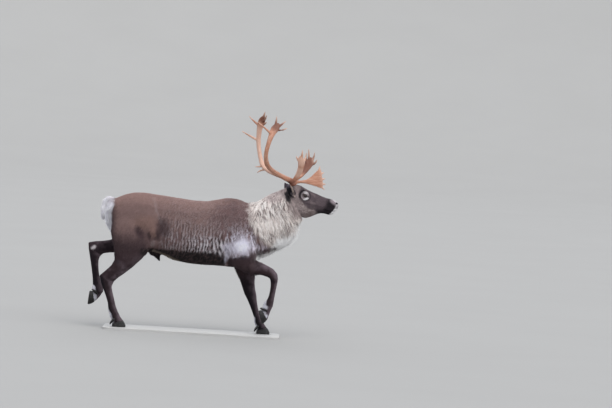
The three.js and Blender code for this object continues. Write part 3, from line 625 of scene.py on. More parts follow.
points = formed(points_of(skin), normals_of(skin))
straight = turned(points, -HEAD_TURN)
wet = np.zeros(len(points))
for side in (-1, 1):
    ahead, up, out, from_eye = around_eye(straight, side)
    edge = past_lids(ahead, up)
    distance = span(from_eye)
    in_reach = (out > 3) & (distance < 60)
    # below the ball inside the opening, then the lid's edge, its fat rim and a fold above it
    target = EYE_RADIUS - 4 + 6.6 * fade(edge, -1.6, 0.6)
    target += 1.2 * fade(edge, 1, 4)
    target -= 1.6 * fade(edge, 6.5, 9.5)
    share = (1 - fade(edge, 8, 17)) * in_reach
    straight += from_eye * (share * (target / np.maximum(distance, 1) - 1))[:, None]
    wet = np.maximum(wet, in_reach * (1 - fade(edge, 0.5, 2.2)))
local = both_sides(straight)
wet = np.maximum(wet, part["head"] * (1 - fade(near_path(local, NOSTRIL)[0], 7, 11)))
wet = np.maximum(wet, 0.7 * part["head"] * (1 - fade(near_path(local, MOUTH)[0], 2, 4)))
move_points(skin, turned(straight, HEAD_TURN))
smoothed(skin)

# Colours of the hair, which the skin under it shares
BACK = (0.285, 0.18, 0.162)
FLANK = (0.205, 0.132, 0.124)
SHOULDER = (0.148, 0.09, 0.09)
HIP_TAN = (0.25, 0.15, 0.125)
THIGH = (0.046, 0.027, 0.031)
BELLY = (0.01, 0.007, 0.008)
PALE_LINE = (0.2, 0.165, 0.13)
HANGING_PALE = (0.66, 0.62, 0.66)
ELBOW_PALE = (0.80, 0.79, 0.93)
CREAM = (0.80, 0.725, 0.69)
MANE_WHITE = (0.96, 0.95, 0.94)
NAPE = (0.36, 0.29, 0.29)
STREAK = (0.075, 0.046, 0.044)
FACE = (0.096, 0.073, 0.081)
CHEEK = (0.26, 0.205, 0.20)
MUZZLE = (0.014, 0.011, 0.014)
NOSE_GREY = (0.30, 0.25, 0.27)
LIP_WHITE = (0.80, 0.78, 0.79)
EYE_RING = (0.33, 0.28, 0.29)
EAR_BACK = (0.13, 0.112, 0.138)
EAR_HAIR = (0.60, 0.47, 0.40)
EAR_DARK = (0.008, 0.007, 0.010)
LEG_BROWN = (0.026, 0.016, 0.019)
LEG_HIGHLIGHT = (0.17, 0.13, 0.15)
LEG_BLACK = (0.008, 0.006, 0.010)
HOCK_WHITE = (0.72, 0.66, 0.68)
RUMP_WHITE = (0.74, 0.73, 0.80)

# Edges and lines of the markings in side view
BACK_LINE = [(-750, 1040), (-600, 1135), (-300, 1134), (0, 1110), (280, 1150), (450, 1105)]
RUMP_EDGE = [(-726, 780), (-714, 850), (-713, 931), (-711, 990), (-690, 1094)]
MANE_EDGE = [(640, 700), (627, 748), (598, 798), (520, 886), (452, 983), (420, 1060), (412, 1124),
             (400, 1190)]
MUZZLE_FRONT = [(1144, 1056), (1168, 1082), (1189, 1112), (1196, 1140), (1190, 1162), (1166, 1182)]
CHEEK_EDGE = [(1030, 1000), (1024, 1071), (938, 1099), (866, 1163), (852, 1252), (850, 1400)]
BAND_EDGE = [(-440, 690), (-250, 688), (-180, 694), (0, 692), (180, 688), (262, 660), (300, 620)]
SLEEVE_EDGE = [(250, 560), (276, 640), (300, 656), (400, 676), (515, 698), (560, 705)]
EAR_RIM = [(844, 1160), (826, 1199), (808, 1245), (784, 1298)]
# the flank's fold, where shade is painted
FLANK_FOLD = [(-306, 0, 962), (-300, 0, 935), (-283, 0, 862), (-300, 0, 810), (-341, 0, 765)]
FLANK_PARTING = [(-366, 0, 1110), (-346, 0, 1058), (-334, 0, 1005), (-306, 0, 950), (-286, 0, 912)]
GROIN_LINE = [(-345, 0, 668), (-280, 0, 647), (-181, 0, 610), (-120, 0, 588)]
# the line under the mane's edge, where its shadow is painted
BRISKET_LINE = [(474, 0, 700), (526, 0, 726), (590, 0, 758), (668, 0, 778)]
# the fold under the knee, where shade is painted
KNEE_FOLD = [(655, 0, 478), (690, 0, 458), (728, 0, 468)]
# Painted shade in the hollows of hip and thigh, and paler hair between them: colour, strength, x, z,
# half length, half height, tilt and softness
HIP_SPOTS = [
    (THIGH, 0.75, -268, 866, 58, 76, 0.1, 0.5), (THIGH, 0.9, -470, 812, 30, 58, 0.5, 0.6),
    (THIGH, 0.7, -385, 792, 16, 40, 0.2, 0.5), (HIP_TAN, 0.55, -351, 829, 28, 40, 0.2, 0.6),
    (THIGH, 0.8, -314, 812, 15, 40, 0.3, 0.6), (NAPE, 0.5, -352, 729, 20, 24, 0.0, 0.5),
]
# The white spots inside the hocks: their middles, the way they are turned and their half sizes
HOCKS = {"hind_left": (-870, 76, 650), "hind_right": (-700, -84, 440)}
HOCK_TURN = np.array([[0.93, 0, -0.37], [0, 1, 0], [0.37, 0, 0.93]])
HOCK_SPOT = (27, 26, 15)
# Lines down the back of each pastern, where white hair grows between the dewclaws
HEELS = [
    [(600, -100, 294), (636, -104, 244), (608, -104, 212), (622, -112, 168)],
    [(528, 97, 116), (556, 96, 92), (566, 94, 52)],
    [(-706, -97, 122), (-674, -96, 100), (-662, -95, 58)],
    [(-860, 80, 312), (-843, 76, 262), (-838, 72, 212)],
]
HAIR_LEAN = 0.5  # how far the hanging hair leans forward for each step down, on shoulder and neck


def mottle(points, size, seed=0):
    """Smooth seeded mottling from 0 to 1, in patches of about `size`"""
    grid = points / size
    cell = np.floor(grid).astype(np.int64)
    share = grid - cell
    share = share * share * (3 - 2 * share)
    total = np.zeros(len(points))
    for corner in np.ndindex(2, 2, 2):
        key = cell + corner
        luck = key[:, 0] * 73856093 ^ key[:, 1] * 19349663 ^ key[:, 2] * 83492791 ^ (seed + 11) * 2654435
        luck = (luck ^ (luck >> 13)) * 1274126177 & 0x7FFFFFFF
        luck = (luck ^ (luck >> 15)) * 668265263 & 0x7FFFFFFF
        weight = np.prod(np.where(corner, share, 1 - share), axis=1)
        total += weight * (luck % 10007) / 10007
    return total


def ripples(points, spacing, shift, seed):
    """Wavy hanging lines from 0 to 1 that part and end"""
    x, y, z = points.T
    over = x + HAIR_LEAN * fade(x, 100, 400) * (z - 900)
    wander = 22 * (mottle(points, 36, seed) - 0.5) + 6 * (mottle(points, 12, seed + 1) - 0.5)
    line = 0.5 + 0.5 * np.sin(2 * np.pi * ((over + wander) / spacing + shift))
    held = fade(mottle(points * (1, 1, 0.4), 12, seed + 2), 0.24, 0.46)
    return fade(line, 0.3, 0.8) * held


def beside(points, line):
    """How far points lie from a line in side view"""
    return near_path(points * (1, 0, 1), line)[0]


def height_of(edge, x):
    """How high a line that runs forward lies in side view"""
    return np.interp(x, *zip(*edge))


def across(edge, points):
    """How far points lie in front of a line that runs upwards in side view"""
    upwards = sorted((z, x) for x, z in edge)
    return points[:, 0] - np.interp(points[:, 2], *zip(*upwards))


def markings(points, part):
    """The colour of skin and coat at each point of the animal"""
    x, y, z = points.T
    out = np.abs(y)
    off_legs = 1 - part["leg"]
    rough = 60 * (mottle(points, 22, 1) - 0.5) + 40 * (mottle(points, 70, 2) - 0.5)
    colour = np.tile(np.array(FLANK), (len(points), 1))

    def paint(tint, mask):
        nonlocal colour
        mask = np.clip(mask, 0, 1)[:, None]
        colour = colour * (1 - mask) + np.array(tint) * mask

    def oval(place_x, place_z, long, high, tilt=0.0, soft=0.35):
        cos, sin = math.cos(tilt), math.sin(tilt)
        u = ((x - place_x) * cos + (z - place_z) * sin) / long
        v = ((z - place_z) * cos - (x - place_x) * sin) / high
        return fade(np.hypot(u, v) + rough / 200, 1 + soft, 1 - soft)

    def stroke(line, inner, outer, wander=0.1):
        return fade(beside(points, line) + wander * rough, outer, inner)

    # Torso: tan along the back, darker down the flank, with hanging pale-tipped hair above a black belly
    top = height_of(BACK_LINE, x)
    paint(BACK, fade(z + 0.4 * rough, top - 130, top + 5))
    paint(SHOULDER, 0.9 * oval(330, 900, 190, 260))
    strokes = ripples(points, 25, 0, 3)
    gaps = ripples(points, 25, 0.5, 3)
    paint(SHOULDER, 0.7 * fade(z, 900, 780) * fade(x, -700, -100))
    behind_hip = fade(x, -340, -200)
    paint(STREAK, gaps * behind_hip * (0.2 + 0.55 * fade(z, 1080, 880)))
    paint(HANGING_PALE, strokes * behind_hip * (0.08 + 0.18 * fade(z, 1000, 850)))
    low_flank = fade(z, 875, 765) * fade(x, -330, -220) * fade(x, 300, 250)
    low_flank *= 0.22 + 0.78 * fade(x, -130, 130)
    paint(SHOULDER, 0.8 * low_flank)
    paint(BELLY, 0.85 * gaps * low_flank)
    paint(HANGING_PALE, 0.95 * strokes * low_flank)
    paint(HIP_TAN, 0.55 * oval(-419, 908, 96, 56, 0.05, 0.6))
    paint(THIGH, 0.95 * fade(z + 0.3 * rough, 880, 700) * fade(x, -330, -430))
    paint(THIGH, 0.8 * fade(0.2 * rough - x, 645, 712) * fade(z, 1090, 980))
    # painted shade in the hollows of hip and thigh and in the flank's fold, with paler hair between
    for tint, strength, *spot in HIP_SPOTS:
        paint(tint, strength * oval(*spot))
    paint(THIGH, 0.5 * stroke(FLANK_FOLD, 6, 24, 0.15))
    paint(NAPE, 0.4 * stroke(FLANK_PARTING, 3, 11) * fade(out, 50, 80))
    band = fade(height_of(BAND_EDGE, x) - z, -10, 14)
    band = np.maximum(band, 0.8 * gaps * fade(z, 745, 700) * fade(x, -150, 0))
    band *= fade(x, 285, 262) * fade(x, -470, -430) * off_legs
    paint(BELLY, band)
    paint(SHOULDER, 0.4 * band * fade(mottle(points * (1, 1, 0.5), 9, 53), 0.45, 0.75))
    paint(BELLY, fade(z, 640, 610) * fade(x, -235, -262) * off_legs * fade(out, 60, 40))
    paint(PALE_LINE, 0.8 * stroke(GROIN_LINE, 6, 16) * off_legs)

    # Elbow: a white patch with a tongue behind it and hair that stands up from it like flames
    spots = fade(mottle(points, 9, 51), 0.42, 0.62)
    flames = (0.18 + 0.65 * fade(z, 905, 800)) * oval(398, 838, 118, 100, 0.12, 0.5)
    patch = np.maximum.reduce([
        oval(398, 760, 78, 60, 0.1, 0.6),
        0.72 * oval(310, 738, 66, 46, 0, 0.6),
        0.6 * oval(375, 690, 120, 48, 0.05, 0.5) * (1 - 0.75 * spots),
        0.6 * oval(505, 765, 84, 36, 0.15, 0.6) * (1 - 0.8 * gaps) * (1 - 0.4 * spots),
        0.7 * oval(283, 668, 20, 58, -0.15),
        flames * strokes,
    ])
    paint(ELBOW_PALE, patch * (1 - 0.5 * gaps * fade(np.abs(x - 398), 30, 75)) * fade(out, 60, 110))
    sleeve = fade(height_of(SLEEVE_EDGE, x) - z + 0.25 * rough, -8, 16)
    sleeve *= fade(x, 292, 312) * fade(x, 575, 545)
    paint(THIGH, 0.95 * sleeve)
    paint(LEG_BLACK, 0.6 * sleeve * fade(mottle(points, 42, 57) - 0.004 * (z - 640), 0.25, 0.75))

    # Rump: a white patch round the tail that shows from the side as a narrow edge
    rump = fade(0.15 * rough - across(RUMP_EDGE, points), -6, 10)
    paint(RUMP_WHITE, rump * fade(z, 775, 820) * fade(out, 124, 92))
    paint(RUMP_WHITE, part["tail"])

    # Neck and mane: cream with brown streaks that hang, greyer on the nape, white under the throat
    ahead = across(MANE_EDGE, points)
    past_head = past_cut(points, HEAD_CUT)
    pale = fade(ahead + 1.1 * rough, -14, 30) * fade(z, 600, 640) * off_legs
    pale *= 1 - 0.5 * fade(ahead + rough, 110, 0) * fade(z, 960, 1040)
    paint(CREAM, pale)
    throat = fade(905 + 0.456 * (x - 677) - z + 0.6 * rough, -20, 50)
    throat *= fade(x - 0.43 * (z - 796) + 0.4 * rough, 605, 655)
    paint(MANE_WHITE, pale * throat)
    streaks = ripples(points, 21, 0, 11) * (1 - 0.93 * throat) * fade(mottle(points, 60, 8), 0.0, 0.4)
    paint(STREAK, 0.9 * pale * streaks)
    paint(CHEEK, 0.7 * pale * fade(110 + past_head + 1.5 * rough, 0, 90) * fade(z, 1000, 1060))
    nape = fade(ahead, 330, 480) * fade(z, 1000, 1130)
    paint(NAPE, 0.75 * pale * np.maximum(nape, 0.8 * oval(690, 1215, 110, 40, 0.45)))
    paint(MANE_WHITE, 0.9 * fade(x, 500, 540) * fade(z, 760, 725) * fade(z, 640, 660) * off_legs)
    paint(THIGH, fade(z, 655, 635) * fade(x, 292, 312))
    # painted shadow under the mane's lower edge, over the darker hair of the brisket
    below_mane = stroke(BRISKET_LINE, 9 + 0.05 * (709 - x), 14 + 0.08 * (709 - x))
    paint(THIGH, 0.85 * below_mane * fade(x, 725, 690) * fade(x, 470, 490))

    # Head, in its own frame
    straight = turned(points, -HEAD_TURN)
    local = both_sides(straight)
    hx, side, hz = local.T
    head = np.maximum(fade(past_head + 0.5 * rough, -30, 15), part["ear"])
    paint(CHEEK, 0.9 * head)
    paint(NAPE, 0.6 * head * oval(850, 1070, 60, 50) * fade(hx, 960, 900))
    jaw = head * oval(890, 1090, 95, 62, -0.1)
    paint(STREAK, 0.45 * jaw * fade(mottle(points, 7, 41), 0.45, 0.7))
    paint(CREAM, 0.28 * jaw * fade(mottle(points, 6, 43), 0.5, 0.75))
    face = fade(across(CHEEK_EDGE, straight) + 0.35 * rough, -14, 16) * head
    paint(FACE, face)
    paint(CHEEK, 0.3 * face * fade(mottle(points, 26, 9), 0.5, 0.8) * fade(hx, 1060, 960))
    paint(MUZZLE, 0.55 * head * fade(hz - 0.45 * (1060 - hx), 1200, 1225) * fade(hx, 880, 940))
    paint(MUZZLE, 0.92 * face * fade(hx + 0.4 * (1120 - hz) + 0.3 * rough, 1050, 1100))
    paint(MUZZLE, 0.9 * head * fade(hx, 975, 1030) * fade(1096 - hz, -14, 22))
    paint(STREAK, 0.5 * head * fade(1090 - hz, 0, 40) * fade(hx, 880, 960) * fade(hx, 1000, 960))
    calm = 0.25 * rough
    bridge = fade(hz - 0.5 * (1190 - hx) + 0.5 * calm, 1110, 1140)
    paint(NOSE_GREY, head * fade(hx + calm, 1108, 1142) * bridge)
    rim = head * fade(across(MUZZLE_FRONT, straight) + 0.4 * calm, -30, -18) * fade(hz, 1040, 1056)
    rim *= fade(hz, 1190, 1178) * (1 - 0.5 * fade(hz, 1100, 1112) * fade(hz, 1142, 1128))
    paint(LIP_WHITE, rim * fade(hx, 1112, 1124))
    paint(NOSE_GREY, 0.5 * rim * fade(hz + calm, 1100, 1124) * fade(side + calm, 52, 40))
    paint(MUZZLE, 0.5 * rim * fade(side, 26, 12) * fade(hz, 1104, 1116) * fade(hz, 1150, 1140))
    paint(LIP_WHITE, 0.9 * head * fade(hx + calm, 1128, 1142) * fade(hz + calm, 1082, 1070))
    paint(MUZZLE, head * fade(near_path(local, NOSTRIL)[0], 11, 6))
    paint(BELLY, head * fade(near_path(local, MOUTH)[0], 3.5, 1.5))
    for eye_side in (-1, 1):
        eye_ahead, eye_up, eye_out, from_eye = around_eye(straight, eye_side)
        seen = (eye_out > -12) & (side > 30) & (straight[:, 1] * eye_side > 0)
        around = np.hypot(eye_ahead - 2, eye_up + 1) + 0.12 * rough
        behind_eye = fade(0.6 * eye_up - eye_ahead, -12, 30)
        dark = fade(around, 54 + 14 * behind_eye, 44 + 6 * behind_eye)
        paint(MUZZLE, (0.6 + 0.38 * behind_eye) * seen * dark)
        ring = seen * fade(around, 42, 31) * (0.2 + 0.8 * fade(side + 0.1 * rough, 54, 70))
        paint(EYE_RING, 0.85 * ring)
        above = fade(eye_up - 0.3 * np.abs(eye_ahead) + 0.15 * rough, 8, 24)
        below = fade(0.75 * eye_ahead - 0.65 * eye_up + 0.15 * rough, 13, 28) * fade(eye_up, 0, -18)
        paint(LIP_WHITE, ring * np.maximum(0.55 * above, 0.9 * below))
        paint(FACE, 0.5 * ring * fade(eye_ahead - 0.3 * eye_up, 18, 36) * fade(eye_up, -16, 2))
        paint(MUZZLE, seen * fade(past_lids(eye_ahead, eye_up), 4.0, 2.0))
        paint(MUZZLE, 0.9 * seen * fade(near_path(local, TEAR_LINE)[0], 8, 4))
    behind_ear = np.hypot((hx - 760) / 34, (hz - 1202) / 52) + 0.006 * rough
    paint(EAR_DARK, 0.96 * fade(behind_ear, 1.1, 0.75) * fade(side, 40, 56) * (1 - part["ear"]))

    # Ears: dark inside, painted as the shade in the cup, with pale hair along the front rim
    paint(EAR_BACK, part["ear"])
    inside = part["ear"] * fade(side - 0.85 * (816 - hx) - 60, -22, 0)
    from_rim = across(EAR_RIM, points) + 0.05 * rough
    # the cup is painted dark, as the shade in it
    paint(EAR_DARK, inside * fade(from_rim, -14, -22) * fade(hz + 0.4 * rough, 1274, 1248))
    paint(EAR_HAIR, 0.95 * inside * fade(from_rim, -20, -12) * fade(from_rim, 4, -4))

    # Legs: dark brown, nearly black below, with white hair behind the pasterns and inside the hocks. A
    # painted highlight runs along each leg's upper front, with painted shade behind it, on its inner side and
    # in the knee's fold
    paint(THIGH, part["leg"])
    paint(LEG_BROWN, part["leg"] * fade(z, 640, 380))
    paint(LEG_BROWN, part["foot"])
    for name, line in LEGS.items():
        distance, _, (axis_x, axis_y, axis_z, reach) = beside_leg(points, line)
        ahead_of_bone = (0.8 * (x - axis_x) + 0.6 * (z - axis_z)) / reach
        inward = (axis_y - y) * np.sign(axis_y) / reach
        near = part["leg"] * (distance < 2 * reach) * (np.sign(y) == np.sign(line[0][1]))
        # painted highlight on the side towards the light, up and ahead; painted shade behind it and on the
        # inner side
        front = fade(ahead_of_bone + 0.01 * rough, -0.25, 0.75)
        paint(LEG_HIGHLIGHT, near * front * (0.8 - 0.35 * fade(inward, 0.2, 0.9)))
        paint(LEG_BLACK, 0.85 * near * fade(0.01 * rough - ahead_of_bone, 0.15, 0.85))
        paint(LEG_BLACK, 0.8 * near * fade(inward, 0.1, 0.7) * (1 - 0.75 * front))
        if name in HOCKS:
            from_hock = span((points - HOCKS[name]) @ HOCK_TURN / HOCK_SPOT)
            paint(HOCK_WHITE, 0.85 * fade(from_hock + 0.015 * rough, 1.4, 0.6))
    # painted shade in the fold under the knee
    paint(LEG_BLACK, 0.7 * part["leg"] * stroke(KNEE_FOLD, 4, 14))
    for heel in HEELS:
        paint(RUMP_WHITE, 0.95 * fade(near_path(points, heel)[0] + 0.2 * rough, 34, 22))
    return colour * (0.92 + 0.16 * mottle(points, 5, 12))[:, None]


def store(piece, name, kind, values):
    """An attribute of each vertex"""
    field = {"FLOAT_COLOR": "color", "FLOAT_VECTOR": "vector", "FLOAT": "value"}[kind]
    if kind == "FLOAT_COLOR":
        values = np.column_stack([values, np.ones(len(values))])
    attribute = piece.data.attributes.new(name, kind, "POINT")
    attribute.data.foreach_set(field, values.astype(np.float32).ravel())


def out_of_head(way):
    """A direction in the head's own frame as one in the animal's"""
    return turned((POLL_X + way[0], way[1], way[2]), HEAD_TURN) - (POLL_X, 0, 0)


def way_of(points, normals, part):
    """The way that the hair grows, before it is laid on the skin"""
    x, y, z = points.T
    one = np.ones(len(points))
    side = 1 - np.abs(normals[:, 2])
    drop = 0.3 + 1.2 * side + 2.4 * side * fade(z, 930, 760)
    lie = np.column_stack([-one, 0.12 * y / 150, -drop])

    def turn_to(share, *way):
        nonlocal lie
        lie = lie + share[:, None] * (np.column_stack([row * one for row in way]) - lie)

    turn_to(fade(-x, 640, 740), 0.6, 0, -1.4)
    throat = fade(across(MANE_EDGE, points) - 0.55 * (z - 900), -60, 260)
    nape = fade(normals[:, 2], 0.25, 0.9)
    turn_to(part["neck"], 0.36 + 0.1 * throat - 1.1 * nape, 0.1 * y / 100, -0.95 + 0.3 * nape)
    turn_to(part["head"], *out_of_head((-0.93, 0, 0.26)))
    for line in LEGS.values():
        middle = np.array(line)[:, :3]
        step = np.minimum(near_path(points, middle)[1].astype(int), len(line) - 2)
        down_leg = unit(middle[step + 1] - middle[step])
        near = (np.sign(middle[0][1]) == np.sign(y)) * ((x > 0) == (middle[0][0] > 0))
        turn_to(part["leg"] * near, *down_leg.T)
    upward = fade(normals[:, 2], 0.0, 0.7)
    turn_to(part["tail"], -0.25 - 1.3 * upward, 0, -1.0 + 0.9 * upward)
    turn_to(part["ear"], -0.45, 0.38 * np.sign(y), 0.8)
    return unit(lie)


def laid(way, normals):
    """The way along the skin"""
    return unit(way - normals * np.sum(way * normals, axis=1, keepdims=True))


points = points_of(skin)
part = regions(points)
normals = normals_of(skin)
store(skin, "markings", "FLOAT_COLOR", markings(points, part))
store(skin, "lie", "FLOAT_VECTOR", laid(way_of(points, normals, part), normals))
store(skin, "wet", "FLOAT", wet)


def stored(shader, name, output="Fac"):
    """What a piece's mesh stores under a name"""
    return node(shader, "Attribute", {}, attribute_name=name).outputs[output]


HAIR_STEP = 0.0011  # metres between the places that are read along a hair
HAIR_FINENESS = 850
hide, shader = new_material("hide", 0.85, 0.12)
tint = stored(shader, "markings", "Color")
lie = stored(shader, "lie", "Vector")
wetness = stored(shader, "wet")
spot = node(shader, "TexCoord", {}).outputs["Object"]
hair = None
for step in range(-3, 4):
    # the same fine noise, read at places that follow each other along the lie, runs together into hairs
    shift = node(shader, "VectorMath", {0: lie, 3: step * HAIR_STEP}, operation="SCALE").outputs[0]
    moved = node(shader, "VectorMath", {0: spot, 1: shift}, operation="ADD").outputs[0]
    sample = noise_at(shader, moved, HAIR_FINENESS, 0)
    hair = sample if hair is None else node(shader, "Math", {0: hair, 1: sample}, operation="ADD").outputs[0]
hair = ranged(shader, hair, 7 * 0.4, 7 * 0.6, 0, 1)
between_hairs = ranged(shader, hair, 0.2, 0.8, 0.45, 0.0)
feed(shader, "Base Color", mixed(shader, between_hairs, tint, (0, 0, 0, 1), "MULTIPLY"))
feed(shader, "Roughness", ranged(shader, wetness, 0.0, 1.0, 0.82, 0.3))
bumped(shader, hair, 0.7, 0.0009)
dress(skin, hide)
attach(skin, "root")
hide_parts(*FLESH, "neck", "tail")

# The eyes are wet brown balls with a lying oval pupil, held by the lids of the skin and turned out and
# a little ahead. The clear front bulges over the iris.
IRIS = (0.022, 0.010, 0.006)
PUPIL = (0.001, 0.001, 0.0015)
EYE_WHITE = (0.06, 0.042, 0.036)
CORNEA = 1.4
GAZE = (0.34, 0.93, 0.06)
IRIS_ANGLE = math.radians(44)
PUPIL_SIZE = (0.0105, 0.006)  # half its length and height
wet_eye, shader = new_material("wet_eye", 0.05, 0.45)
feed(shader, "Base Color", stored(shader, "markings", "Color"))
for eye_side, eye_name in ((-1, "eye_right"), (1, "eye_left")):
    gaze = out_of_head((GAZE[0], eye_side * GAZE[1], GAZE[2]))
    centre = place(turned(eye_middle[eye_side], HEAD_TURN))
    bpy.ops.object.select_all(action="DESELECT")
    bpy.ops.mesh.primitive_uv_sphere_add(segments=48, ring_count=32, radius=EYE_RADIUS / 1000)
    ball = bpy.context.object
    ball.name = "eyeball_right" if eye_side < 0 else "eyeball_left"
    ball.data.name = ball.name
    turn = Vector((0, 0, 1)).rotation_difference(Vector(gaze)).to_matrix()
    raw = read(ball.data.vertices, "co")
    angle = np.arccos(np.clip(raw[:, 2] / span(raw), -1, 1))
    raw *= (1 + CORNEA / EYE_RADIUS * (1 - fade(angle, 0.5 * IRIS_ANGLE, IRIS_ANGLE)))[:, None]
    settled = raw @ np.array(turn).T
    level = unit(np.cross(gaze, (0, 0, 1)))
    long_way = settled @ level
    high_way = settled @ np.cross(level, gaze)
    ball.data.vertices.foreach_set("co", (settled + centre).ravel())
    tone = np.tile(np.array(EYE_WHITE), (len(raw), 1))
    in_iris = (1 - fade(angle, IRIS_ANGLE - 0.08, IRIS_ANGLE))[:, None]
    rays = np.column_stack([np.arctan2(high_way, long_way) * 9, angle * 4, angle * 0])
    fibres = 0.8 + 0.4 * mottle(rays, 1.0, 3)
    tone = tone * (1 - in_iris) + np.array(IRIS) * fibres[:, None] * in_iris
    pupil = np.hypot(long_way / PUPIL_SIZE[0], high_way / PUPIL_SIZE[1])
    in_pupil = (1 - fade(pupil, 0.85, 1.1))[:, None] * (angle < 1.2)[:, None]
    tone = tone * (1 - in_pupil) + np.array(PUPIL) * in_pupil
    store(ball, "markings", "FLOAT_COLOR", tone)
    smoothed(ball)
    dress(ball, wet_eye)
    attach(ball, "root")
    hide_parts(eye_name)

# The hooves: two broad toes and two dewclaws on each foot, of smooth black horn with growth rings, worn
# round at the edge. They grow out of the skin of the pasterns.
HOOF_VOXEL = 0.0022
HOOF_PITCH = {"fore_right": 73.5, "hind_left": 95.5}  # how far a lifted hoof tips, in degrees
HORN_DARK = (0.009, 0.008, 0.008, 1)
HORN_WORN = (0.05, 0.043, 0.038, 1)
horn, shader = new_material("horn", 0.4, 0.35)
rings = noise_at(shader, stored(shader, "growth", "Vector"), 1.0, 2)
scuffs = noise_at(shader, object_place(shader), 70, 5)
feed(shader, "Base Color", mixed(shader, ranged(shader, scuffs, 0.5, 0.8, 0, 0.8), HORN_DARK, HORN_WORN))
feed(shader, "Roughness", ranged(shader, scuffs, 0.3, 0.7, 0.3, 0.55))
bumped(shader, rings, 0.5, 0.0012)
for leg_name in LEGS:
    names = [f"{leg_name}_{claw}_{side}" for claw in ("toe", "dewclaw") for side in ("r", "l")]
    hoof = joined(leg_name + "_hooves", [merged_copy(name, 0.0004) for name in names])
    applied(hoof, "REMESH", mode="VOXEL", voxel_size=HOOF_VOXEL)
    applied(hoof, "SMOOTH", factor=0.5, iterations=22)
    # growth rings lie one above the other, across the way that the horn grows
    pitch = math.radians(HOOF_PITCH.get(leg_name, 0))
    upward = np.array([math.sin(pitch), 0, math.cos(pitch)])
    points = points_of(hoof)
    risen = points @ upward
    store(hoof, "growth", "FLOAT_VECTOR", points / 30 + np.outer(risen, upward) / 3.2)
    smoothed(hoof)
    dress(hoof, horn)
    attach(hoof, "root")
    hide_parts(*names)

# The antlers: solid bone, rubbed clean of its velvet, salmon brown and furrowed along the beams, pearled
# near the burr and polished pale at the tips. Each is one piece from burr to tips.
# Painted highlight lies on the lit branches and painted shade on the far bez.
ANTLER_VOXEL = 0.0024
BONE_BROWN = (0.47, 0.22, 0.14, 1)
BONE_DARK = (0.38, 0.17, 0.105, 1)
BONE_PALE = (0.72, 0.50, 0.40, 1)
BONE_DEEP = (0.12, 0.044, 0.028, 1)
BONE_RED = (0.21, 0.08, 0.05, 1)
BONE_FURROW = (0.17, 0.075, 0.05, 1)
bone, shader = new_material("antler_bone", 0.5, 0.4)
along = stored(shader, "along", "Vector")
tips_and_highlight = stored(shader, "tip")
spot = node(shader, "TexCoord", {}).outputs["Object"]
apart = stored(shader, "alone")
furrows = noise_at(shader, along, 1.0, 4, 0.6)
furrows = node(shader, "Mix", {0: apart, 2: 0.5, 3: furrows}, data_type="FLOAT").outputs[0]
patches = noise_at(shader, spot, 9, 3)
tone = mixed(shader, ranged(shader, patches, 0.35, 0.65, 0, 1), BONE_BROWN, BONE_DARK)
tone = mixed(shader, ranged(shader, furrows, 0.5, 0.75, 0, 0.65), tone, BONE_PALE)
tone = mixed(shader, ranged(shader, furrows, 0.45, 0.25, 0, 0.75), tone, BONE_FURROW)
shade_and_dark_bone = stored(shader, "deep")
# painted shade on the far bez, and darker bone round the burrs and on the top palms
tone = mixed(shader, shade_and_dark_bone, tone, mixed(shader, furrows, BONE_DEEP, BONE_RED))
# pale rubbed tips, and painted highlight on the lit branches
tone = mixed(shader, tips_and_highlight, tone, BONE_PALE)
feed(shader, "Base Color", tone)
feed(shader, "Roughness", ranged(shader, furrows, 0.3, 0.7, 0.62, 0.38))
pores = noise_at(shader, spot, 320, 4, 0.7)
relief = node(shader, "Math", {0: furrows, 1: pores}, operation="ADD").outputs[0]
bumped(shader, relief, 0.6, 0.0018)

# The middle line of each branch, from the burr outwards
BRANCHES = {
    "right": [
        [(798, -42, 1308), (736, -85, 1340), (614, -215, 1405), (562, -300, 1482), (570, -348, 1617),
         (606, -328, 1735), (648, -294, 1806)],
        [(800, -55, 1320), (846, -104, 1402), (858, -146, 1494), (847, -156, 1541)],
        [(790, -44, 1311), (884, -26, 1321), (966, -8, 1340), (1050, 5, 1352)],
    ],
    "left": [
        [(791, 51, 1308), (715, 100, 1346), (570, 228, 1394), (511, 290, 1474), (478, 325, 1638),
         (489, 299, 1778), (509, 270, 1846)],
        [(800, 62, 1318), (880, 104, 1394), (926, 148, 1482), (938, 158, 1527)],
        [(782, 58, 1308), (896, 64, 1324), (952, 62, 1352)],
    ],
}
# The tips of the points, which are rubbed pale
TIPS = {
    "right": [(628, -288, 1864), (708, -268, 1828), (722, -282, 1770), (474, -338, 1806), (811, -150, 1538),
              (861, -160, 1591), (892, -134, 1546), (1018, 4, 1463), (1056, 10, 1412), (1070, 12, 1360),
              (1079, 12, 1312), (1071, 12, 1260)],
    "left": [(465, 292, 1415), (484, 276, 1367), (333, 345, 1711), (385, 330, 1844), (521, 252, 1891),
             (538, 200, 1862), (540, 205, 1806), (898, 164, 1562), (914, 170, 1597), (966, 156, 1572),
             (990, 140, 1512), (952, 62, 1352)],
}
TIP_REACH = 60
# Where the bone is painted pale as a highlight on the lit branches, and where it is painted dark: as shade on
# the far bez, and darker round the burrs and on the top palms; and how far round
HIGHLIT_BONE = {
    "right": [(846, -104, 1402, 70), (858, -146, 1494, 60)],
    "left": [(570, 228, 1394, 110), (511, 290, 1474, 120), (478, 325, 1600, 130), (478, 320, 1690, 110)],
}
SHADED_AND_DARK_BONE = {
    "right": [(652, -288, 1795, 105), (780, -50, 1300, 60)],
    "left": [(520, 235, 1850, 95), (905, 125, 1440, 100), (935, 155, 1520, 110), (785, 55, 1300, 60)],
}


def fill_valleys(piece, points, normals, rounds):
    """Raises what lies lower than its neighbours, so that the joints between the branches close"""
    means = neighbour_means(piece)
    for _ in range(rounds):
        rise = np.maximum(np.sum((means(points) - points) * normals, axis=1), 0)
        points = points + normals * rise[:, None]
    return points


def near_any(points, places, inner):
    """How near points lie to any of the places, 1 within the share `inner` of each one's reach"""
    near = np.zeros(len(points))
    for *centre, reach in places:
        distance = span(points - centre)
        near = np.maximum(near, 1 - fade(distance, inner * reach, reach))
    return near


